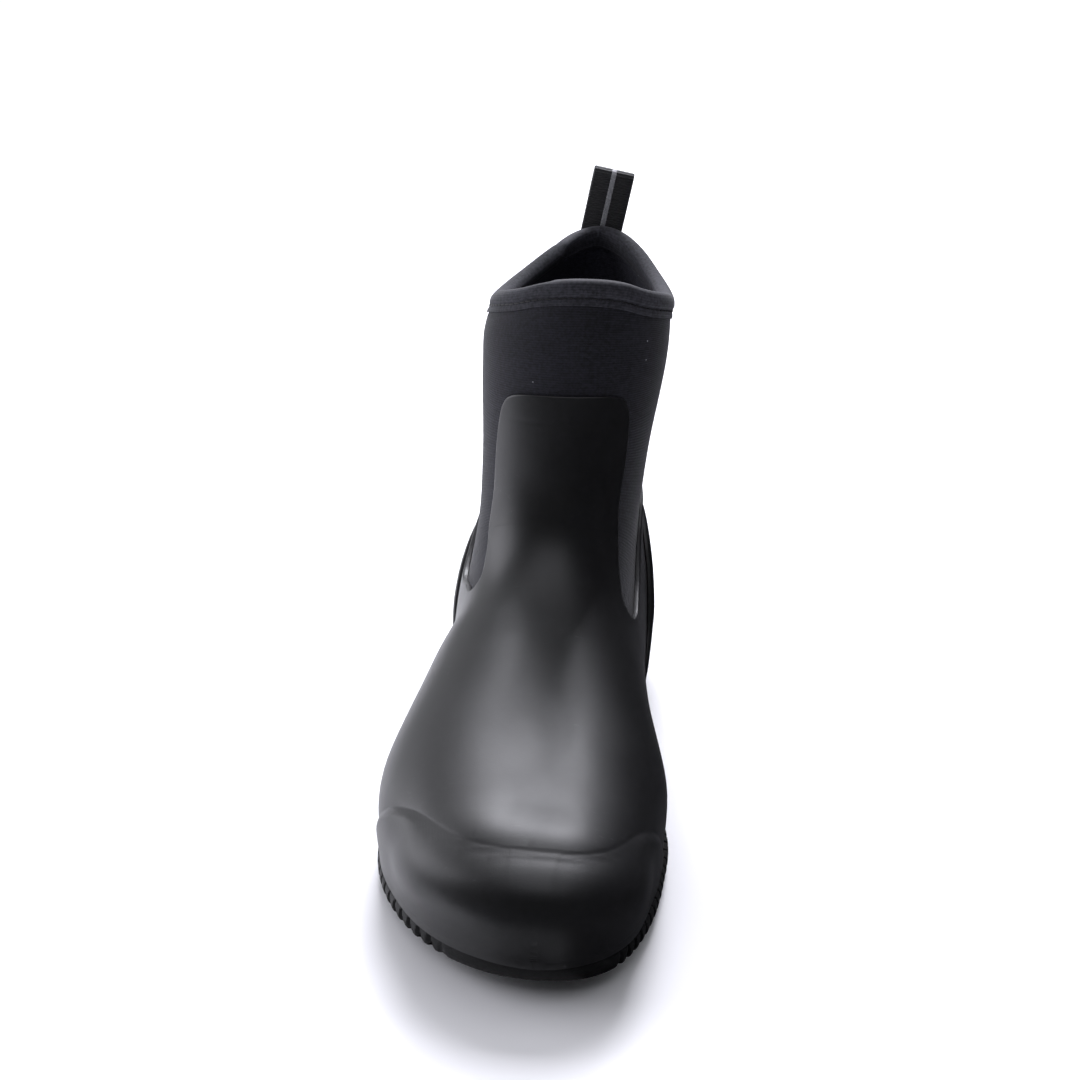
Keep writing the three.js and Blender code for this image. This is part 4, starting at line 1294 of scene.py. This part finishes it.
def capsule(start, end, radius, sides=8, rounds=4):
    """Points and faces of a thread with rounded ends."""
    start, end = Vector(start), Vector(end)
    axis = (end - start).normalized()
    across = axis.orthogonal().normalized()
    other = axis.cross(across)
    rings = []
    for i in range(rounds + 1):
        turn = math.pi / 2 * i / rounds
        rings.append((start - axis * radius * math.cos(turn), radius * math.sin(turn)))
    for i in range(rounds, -1, -1):
        turn = math.pi / 2 * i / rounds
        rings.append((end + axis * radius * math.cos(turn), radius * math.sin(turn)))
    points = []
    for centre, size in rings:
        size = max(size, END_RADIUS)
        for k in range(sides):
            angle = 2 * math.pi * k / sides
            side = across * math.cos(angle) + other * math.sin(angle)
            points.append(tuple(centre + side * size))
    faces = ring_faces(len(rings), sides, closed=False)
    faces.append(tuple(range(sides))[::-1])
    faces.append(tuple(range(len(points) - sides, len(points))))
    return points, faces


def join(parts):
    """One list of points and faces from several."""
    points, faces = [], []
    for more, joined in parts:
        start = len(points)
        points.extend(more)
        faces.extend(tuple(start + i for i in face) for face in joined)
    return points, faces


def stitches_along(line, spacing, length, radius):
    """Stitches along a polyline of points."""
    run = np.concatenate([[0], np.cumsum(np.linalg.norm(np.diff(line, axis=0), axis=1))])
    count = int(run[-1] / spacing)
    step = run[-1] / count

    def at(distance):
        return [float(np.interp(distance, run, line[:, i])) for i in range(3)]

    parts = []
    for i in range(count):
        middle = (i + 0.5) * step + random.uniform(-STITCH_STRAY, STITCH_STRAY)
        parts.append(capsule(at(middle - length / 2), at(middle + length / 2), radius))
    return join(parts)


furrow = COLLAR_ROW + COLLAR_OUT * (FURROW_OUT + THREAD_STANDS) + COLLAR_UP * STITCH_DROP
furrow = np.concatenate([furrow, furrow[:1]])
points, faces = stitches_along(furrow, STITCH_SPACING, STITCH_LENGTH, THREAD_RADIUS)
make_piece("collar_stitches", points, faces, THREAD, None)

# %% [markdown]
# ## The pull loop
# The loop is 18 mm webbing, sewn to the back of the collar in two layers, folded over at the
# top. It is a flat ribbon with rounded sides, carried along the same route as the CAD loop.
# The reflective stripe is woven into the middle of its outer face.

# %% Loop
WEBBING_WIDTH = 18
WEBBING = 1.5
LOOP_STAND = 26
LOOP_SEWN = 20
LOOP_OPEN = 3.2
LOOP_LEAN = 0.06
LOOP_SHIFT = 1.2
LOOP_PART = 0.45
TAPE = 0.9
FOLD_RADIUS = (WEBBING + LOOP_OPEN) / 2
FOLD_PIECES = 12
LOOP_CLEAR = 0.45  # between the tape and the webbing's inner face
RIBBON_STEP = 0.55  # millimetres between sections along the webbing
RIBBON_CORNER = 0.45  # the webbing's rounded selvedge, a share of its thickness
CORNER_PIECES = 3


def loop_route():
    """Points of the webbing's middle, as distances out from the shaft and up."""
    first = WEBBING / 2 + LOOP_CLEAR
    top = LOOP_STAND - WEBBING - LOOP_OPEN / 2
    outer = first + 2 * FOLD_RADIUS
    sewn = first + WEBBING + 0.05
    route = [(first, up) for up in (-LOOP_SEWN, -LOOP_SEWN / 2, 0, top / 2, top)]
    for i in range(1, FOLD_PIECES):
        turn = math.pi * (1 - i / FOLD_PIECES)
        middle = first + FOLD_RADIUS
        route.append((middle + FOLD_RADIUS * math.cos(turn), top + FOLD_RADIUS * math.sin(turn)))
    apart = LOOP_PART * LOOP_STAND
    route += [(outer, top), (outer - 0.1, apart + 5), (outer - 0.9, apart - 1), (sewn + 0.5, 2)]
    route += [(sewn, -2), (sewn, -LOOP_SEWN / 2), (sewn, -LOOP_SEWN)]
    return np.array(route, float)


LOOP_OUT = COLLAR_OUT[0] - COLLAR_UP[0] * (COLLAR_OUT[0] @ COLLAR_UP[0])
LOOP_OUT = LOOP_OUT / np.linalg.norm(LOOP_OUT)
ACROSS = np.cross(LOOP_OUT, COLLAR_UP[0])
LOOP_UP = COLLAR_UP[0] * math.cos(LOOP_LEAN) + ACROSS * math.sin(LOOP_LEAN)
LOOP_ACROSS = np.cross(LOOP_OUT, LOOP_UP)
SEAT = COLLAR_ROW[0] + LOOP_OUT * (2 * GAP + TAPE) + np.array([LOOP_SHIFT, 0, 0])


def ribbon(route, width, thick, lift, ends):
    """A flat band along the route, its face lifted outwards; returns points, faces and run."""
    run = np.concatenate([[0], np.cumsum(np.linalg.norm(np.diff(route, axis=0), axis=1))])
    count = int(run[-1] / RIBBON_STEP)
    want = np.linspace(ends, run[-1] - ends, count)
    path = smooth_open(route, 8 * len(route))
    length = np.concatenate([[0], np.cumsum(np.linalg.norm(np.diff(path, axis=0), axis=1))])
    want = want * length[-1] / run[-1]
    path = np.stack([np.interp(want, length, path[:, i]) for i in range(2)], axis=1)
    along_path = np.gradient(path, axis=0)
    along_path /= np.linalg.norm(along_path, axis=1, keepdims=True)
    outward = np.stack([-along_path[:, 1], along_path[:, 0]], axis=1)
    section = []
    corner = thick * RIBBON_CORNER
    for sign_w, sign_t in ((1, 1), (-1, 1), (-1, -1), (1, -1)):
        for i in range(CORNER_PIECES + 1):
            turn = math.pi / 2 * i / CORNER_PIECES
            if sign_w * sign_t < 0:
                turn = math.pi / 2 - turn
            w = sign_w * (width / 2 - corner + corner * math.cos(turn))
            t = sign_t * (thick / 2 - corner + corner * math.sin(turn))
            section.append((w, t))
    points = []
    for i, (out, up) in enumerate(path):
        for w, t in section:
            o = out + outward[i, 0] * (t + lift)
            u = up + outward[i, 1] * (t + lift)
            points.append(SEAT + LOOP_OUT * o + LOOP_UP * u + LOOP_ACROSS * w)
    size = len(section)
    faces = ring_faces(len(path), size, closed=False)
    faces += [tuple(range(size))[::-1], tuple(range(len(points) - size, len(points)))]
    return np.array(points), faces, np.repeat(want, size)


points, faces, run = ribbon(loop_route(), WEBBING_WIDTH, WEBBING, 0, 0)
make_piece("loop_webbing", points, faces, WEBBING_NYLON, "pull_loop", {"climb": run})
STRIPE_WIDTH = 2.1
STRIPE_THICK = 0.3
points, faces, run = ribbon(loop_route(), STRIPE_WIDTH, STRIPE_THICK, WEBBING / 2, 0.4)
make_piece("loop_stripe", points, faces, STRIPE_TAPE, None, {"climb": run})

# %% [markdown]
# ## The outsole
# The sole's wall is cut by V grooves: narrow at the top, wide at the floor, one about every
# 5 mm, and plain at the very toe. Above them runs a plain band. The wall is a stack of rings,
# and each groove's width grows from ring to ring.

# %% Outsole
TOOTH_PITCH = 5.4
TOOTH_DEPTH = 5.0
TOOTH_FLANK = 0.2  # share of half a pitch that a groove's flank takes
NOSE = 0.05 * SOLE_LENGTH
OUTLINE_SHARE = 2.25
STEPS_PER_TOOTH = 10
GROOVE_WIDTH = (0.62, 0.1)  # a groove's share of half a pitch: added at the floor, kept at the top
GROOVE_RISE = 0.6  # and gets this much shallower
HEEL_PLAIN = (292, 297)  # the heel's back is left plain from here
OUTLINE_SAMPLES = 1501
WALL = table(  # shares of the wall's height, and how far out it stands there
    "level out",
    (0.0, -1.2),
    (0.06, -0.7),
    (0.16, -0.3),
    (0.35, 0.05),
    (0.6, 0.1),
    (0.8, 0.0),
    (0.93, -0.5),
    (1.0, -1.8),
)
REBATE = 3.5  # the wall stops this far below the sole's top, where the shell laps over it
REBATE_WIDTH = 6.8


def even_stations(count):
    """Stations whose points lie evenly along the sole's outline."""
    share = (1 - np.cos(np.linspace(0, math.pi, OUTLINE_SAMPLES))) / 2
    station = SOLE_LENGTH * share
    line = np.stack([plan(station, 0)[1], station, 0 * station], axis=1)
    return evenly(line, count)[:, 1]


def sole_wall(side):
    """Outline points of one side, their outward directions and the run along them."""
    tooth_count = round(OUTLINE_SHARE / 2 * SOLE_LENGTH / TOOTH_PITCH)
    count = tooth_count * STEPS_PER_TOOTH
    station = even_stations(count)
    centre, half = plan(station, 0)
    line = np.stack([centre + side * half, station], axis=1)
    ahead = np.gradient(line, axis=0)
    ahead /= np.linalg.norm(ahead, axis=1, keepdims=True)
    out = np.stack([ahead[:, 1], -ahead[:, 0]], axis=1) * side
    out[0], out[-1] = (0, -1), (0, 1)
    phase = np.arange(count + 1) / STEPS_PER_TOOTH
    return line, out, np.abs(phase - np.round(phase)) * 2, station


def build_outsole():
    rings = []
    for side in (-1, 1):
        line, out, phase, station = sole_wall(side)
        top, bottom = sole_top(station), sole_bottom(station)
        band = top - REBATE
        fade = smooth(station, NOSE * 0.6, NOSE * 1.6) * (1 - smooth(station, *HEEL_PLAIN))
        columns = []
        for level, lean in zip(*WALL.values()):
            z = bottom + (band - bottom) * level
            wide = GROOVE_WIDTH[0] * (1 - level) + GROOVE_WIDTH[1]
            groove = np.clip((wide - phase) / TOOTH_FLANK, 0, 1) * fade
            cut = TOOTH_DEPTH * groove * (1 - GROOVE_RISE * level)
            columns.append((line + out * (lean - cut)[:, None], z))
        columns.append((line - out * REBATE_WIDTH, top - 0.1))
        rings.append([np.concatenate([flat, z[:, None]], axis=1) for flat, z in columns])
    left, right = (np.stack(side) for side in rings)
    levels, count = left.shape[:2]
    left[:, 0] = right[:, 0] = (left[:, 0] + right[:, 0]) / 2
    left[:, -1] = right[:, -1] = (left[:, -1] + right[:, -1]) / 2
    points = np.concatenate([left.reshape(-1, 3), right.reshape(-1, 3)])

    def at(side, level, i):
        shared = i in (0, count - 1)
        return (0 if shared else side) * levels * count + level * count + i

    faces = []
    for i in range(count - 1):
        for level in range(levels - 1):
            low = (at(0, level, i), at(0, level, i + 1))
            high = (at(0, level + 1, i + 1), at(0, level + 1, i))
            faces.append((*low, *high)[::-1])
            low = (at(1, level, i), at(1, level, i + 1))
            high = (at(1, level + 1, i + 1), at(1, level + 1, i))
            faces.append((*low, *high))
        for level, turned in ((0, True), (levels - 1, False)):
            quad = (at(0, level, i), at(1, level, i), at(1, level, i + 1), at(0, level, i + 1))
            faces.append(quad[::-1] if turned else quad)
    clean = []
    for face in faces:
        distinct = list(dict.fromkeys(face))
        if len(distinct) > 2:
            clean.append(tuple(distinct))
    used = sorted({i for face in clean for i in face})
    place = {old: new for new, old in enumerate(used)}
    return points[used], [tuple(place[i] for i in face) for face in clean]


points, faces = build_outsole()
make_piece("outsole_block", points, faces, SOLE_COMPOUND, "outsole")

# %% [markdown]
# ### Lugs
# Bars either side of a middle groove carry the boot. They stand under the sole as in the CAD
# model, with drafted sides and a small rounding from a bevel modifier.

# %% Lugs
LUG_ROWS = table("first last rows", (0.07, 0.43, 8), (0.745, 0.94, 5))
LUG_LENGTH = 0.026 * SOLE_LENGTH
MIDDLE_GROOVE = 0.05 * BALL_WIDTH
LUG_MARGIN = 0.075 * BALL_WIDTH
LUG_SWEEP = 0.03 * SOLE_LENGTH
LUG_ROOT = 0.3
LUG_DRAFT = 0.7
LUG_ROUNDING = 0.35


def lug_bar(inner, outer, side):
    """A drafted bar between two ends, wide at its root."""
    corners = [inner, outer, (outer[0], outer[1] + LUG_LENGTH), (inner[0], inner[1] + LUG_LENGTH)]
    centre = np.mean(corners, axis=0)
    points = []
    for height, grow in ((-LUG_DEPTH, 0), (LUG_ROOT * LUG_DEPTH, LUG_DRAFT)):
        for corner in corners:
            away = np.sign(np.array(corner) - centre) * grow
            x, s = corner[0] + away[0], corner[1] + away[1]
            points.append((x, s, float(sole_bottom(corner[1])) + height))
    faces = [(3, 2, 1, 0), (4, 5, 6, 7)]
    faces += [(i, (i + 1) % 4, (i + 1) % 4 + 4, i + 4) for i in range(4)]
    return points, faces if side > 0 else [face[::-1] for face in faces]


def build_lugs():
    parts = []
    for first, last, rows in zip(*LUG_ROWS.values()):
        for i in range(int(rows)):
            station = SOLE_LENGTH * (first + (last - first) * i / (rows - 1))
            outer = station + (LUG_SWEEP if first < 0.5 else 0)
            for side in (-1, 1):
                reach = min(plan(outer, 0)[1], plan(outer + LUG_LENGTH, 0)[1]) - LUG_MARGIN
                if reach <= 2 * MIDDLE_GROOVE:
                    continue
                near = (float(plan(station, 0)[0]) + side * MIDDLE_GROOVE, station)
                far = (float(plan(outer, 0)[0] + side * reach), outer)
                parts.append(lug_bar(near, far, side))
    return join(parts)


points, faces = build_lugs()
lugs = make_piece("outsole_lugs", points, faces, SOLE_COMPOUND, None)
softened = lugs.modifiers.new("moulded corners", "BEVEL")
softened.width = LUG_ROUNDING * MM
softened.segments = 2

# %% [markdown]
# ## The insole
# Only a glimpse of it shows down the collar, so the CAD solid stays and gets the felt.

# %% Insole
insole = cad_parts["insole"]
insole.data.materials.clear()
insole.data.materials.append(FELT)

# %% [markdown]
# ## Camera
# The photograph looks down at the toes from in front, a little from the medial side. The
# camera stands where the photograph's camera stood, in the boot's own millimetres, and turns
# a few degrees so that the one boot is in the middle of the picture.

# %% Camera
CAMERA_PLACE = (57.2, -434.6, 335)
CAMERA_PITCH = math.radians(21.2)  # below the horizon
CAMERA_YAW = math.radians(5.6)  # turned towards the boot
FOCAL_PIXELS = 1573.9
PICTURE_PIXELS = 1080
SENSOR = 36.0

camera_data = bpy.data.cameras.new("camera")
camera_data.sensor_width = SENSOR
camera_data.lens = FOCAL_PIXELS / PICTURE_PIXELS * SENSOR
camera = bpy.data.objects.new("camera", camera_data)
bpy.context.scene.collection.objects.link(camera)
camera.location = to_frame(CAMERA_PLACE)
camera.rotation_euler = (math.pi / 2 - CAMERA_PITCH, 0, CAMERA_YAW)
bpy.context.scene.camera = camera
print("lens:", round(camera_data.lens, 1), "mm")

# %% [markdown]
# ## Floor and light
# The studio is a white table under a broad soft light, with white walls to the sides and
# behind, and the dark room behind the camera. Satin rubber shows exactly that: bright at its
# edges and on its top, dark where it faces the camera. The floor also glows, more with distance:
# that glow is painted light, which keeps the far edge of the picture white.

# %% Floor
FLOOR_HALF = 40.0
FLOOR_PAINTED_GLOW = (0.6, 2.5, 0.0, 0.8)  # painted glow: the table's emission grows from near to far


def build_floor():
    material, shader = new_material("white_table_painted_glow")
    shader.inputs["Base Color"].default_value = colour("#f4f4f6")
    shader.inputs["Roughness"].default_value = 0.6
    place = add(material, "ShaderNodeTexCoord").outputs["Object"]
    far = add(material, "ShaderNodeVectorMath", {0: place}, operation="LENGTH").outputs["Value"]
    # painted light: the floor glows, more with distance
    link(material, spread(material, far, *FLOOR_PAINTED_GLOW), shader, "Emission Strength")
    shader.inputs["Emission Color"].default_value = colour("#f4f4f6")
    mesh = bpy.data.meshes.new("floor")
    side = FLOOR_HALF
    corners = [(-side, -side, 0), (side, -side, 0), (side, side, 0), (-side, side, 0)]
    mesh.from_pydata(corners, [], [(0, 1, 2, 3)])
    mesh.materials.append(material)
    floor = bpy.data.objects.new("floor", mesh)
    bpy.context.scene.collection.objects.link(floor)
    return floor


build_floor()
print("floor:", 2 * FLOOR_HALF, "m wide")

# %% [markdown]
# Four soft rectangles stand for the windows and the ceiling. A glossy form is drawn by what it
# mirrors: the back window lies on the vamp and the guard, the ceiling on the instep, and the
# lateral window along the left side. They are a little blue, as daylight is.

# %% Light


def soft_light(name, place, target, size, power):
    data = bpy.data.lights.new(name, "AREA")
    data.shape = "RECTANGLE"
    data.size, data.size_y = size
    data.energy = power
    data.color = colour("#f7f7ff")[:3]
    light = bpy.data.objects.new(name, data)
    bpy.context.scene.collection.objects.link(light)
    light.location = place
    light.rotation_euler = (Vector(target) - Vector(place)).to_track_quat("-Z", "Y").to_euler()
    return light


BOOT_MIDDLE = (0, 0, 0.1)
soft_light("back window", (0.02, 1.2, 1.4), BOOT_MIDDLE, (0.95, 0.95), 50)
soft_light("ceiling", (0, -0.5, 2.0), (0, -0.45, 0), (1.4, 2.4), 12)
soft_light("lateral window", (-1.25, 0.1, 0.55), BOOT_MIDDLE, (1.1, 0.9), 11)
soft_light("medial wall", (1.5, 0.9, 0.6), BOOT_MIDDLE, (0.8, 0.8), 0.6)


# %% [markdown]
# Three dark grey cards are painted shade for the rubber's reflections: one lies in front of
# the toe, for the shade on the floor there, and two lie and stand along the medial side to
# darken it. Only reflections see them: they cast no shadow, and the floor stays white under them.

# %% Cards
CARD_SHEET = 0.002  # metres that a lying card stands above the floor


def painted_shade_card(name, corners):
    """A matt dark card that only reflections see: painted shade in the reflections."""
    material, shader = new_material(name)
    shader.inputs["Base Color"].default_value = colour("#3a3a3e")
    shader.inputs["Roughness"].default_value = 0.9
    mesh = bpy.data.meshes.new(name)
    mesh.from_pydata(corners, [], [(0, 1, 2, 3)])
    mesh.materials.append(material)
    card = bpy.data.objects.new(name, mesh)
    bpy.context.scene.collection.objects.link(card)
    card.visible_camera = card.visible_diffuse = card.visible_shadow = False
    return card


def lying(x0, x1, y0, y1):
    return [(x0, y0, CARD_SHEET), (x1, y0, CARD_SHEET), (x1, y1, CARD_SHEET), (x0, y1, CARD_SHEET)]


def standing(x, y0, y1, foot, top):
    return [(x, y0, foot), (x, y1, foot), (x, y1, top), (x, y0, top)]


CARD_FRONT, CARD_BACK, CARD_SIDE = -0.24, 0.7, 0.1  # metres, of the cards at the medial side
# painted shade: cards seen only in reflections, in front of the toe and at the medial side
painted_shade_card("shade_card_in_front", lying(-1.5, 1.5, -3, -0.175))
painted_shade_card("shade_card_beneath", lying(0.03, CARD_SIDE, CARD_FRONT, CARD_BACK))
painted_shade_card("shade_card_beside", standing(CARD_SIDE, CARD_FRONT, CARD_BACK, 0.001, 0.3))

# %% [markdown]
# The world stands for the walls. It is nearly black towards the camera and light behind the
# boot, with an even run between, so that the rubber's edges fade and don't end in a line.

# %% World
WORLD_RUN = (-0.3, 0.6, 0.055, 0.75)  # from and to this share of backwards, strengths there

world = bpy.data.worlds.new("studio")
bpy.context.scene.world = world
world.use_nodes = True
world.node_tree.nodes.clear()
direction = add(world, "ShaderNodeTexCoord").outputs["Generated"]
parts = add(world, "ShaderNodeSeparateXYZ", {"Vector": direction})
front_to_back = spread(world, parts.outputs["Y"], *WORLD_RUN)
shade = add(world, "ShaderNodeBackground", {"Color": colour("#f3f4f8"), "Strength": front_to_back})
add(world, "ShaderNodeOutputWorld", {"Surface": shade.outputs["Background"]})
bpy.context.scene.view_settings.view_transform = "Standard"
print("world:", world.name, "from", WORLD_RUN[2], "to", WORLD_RUN[3])

# %% [markdown]
# ## The end

# %% Finish
print("scene set up")
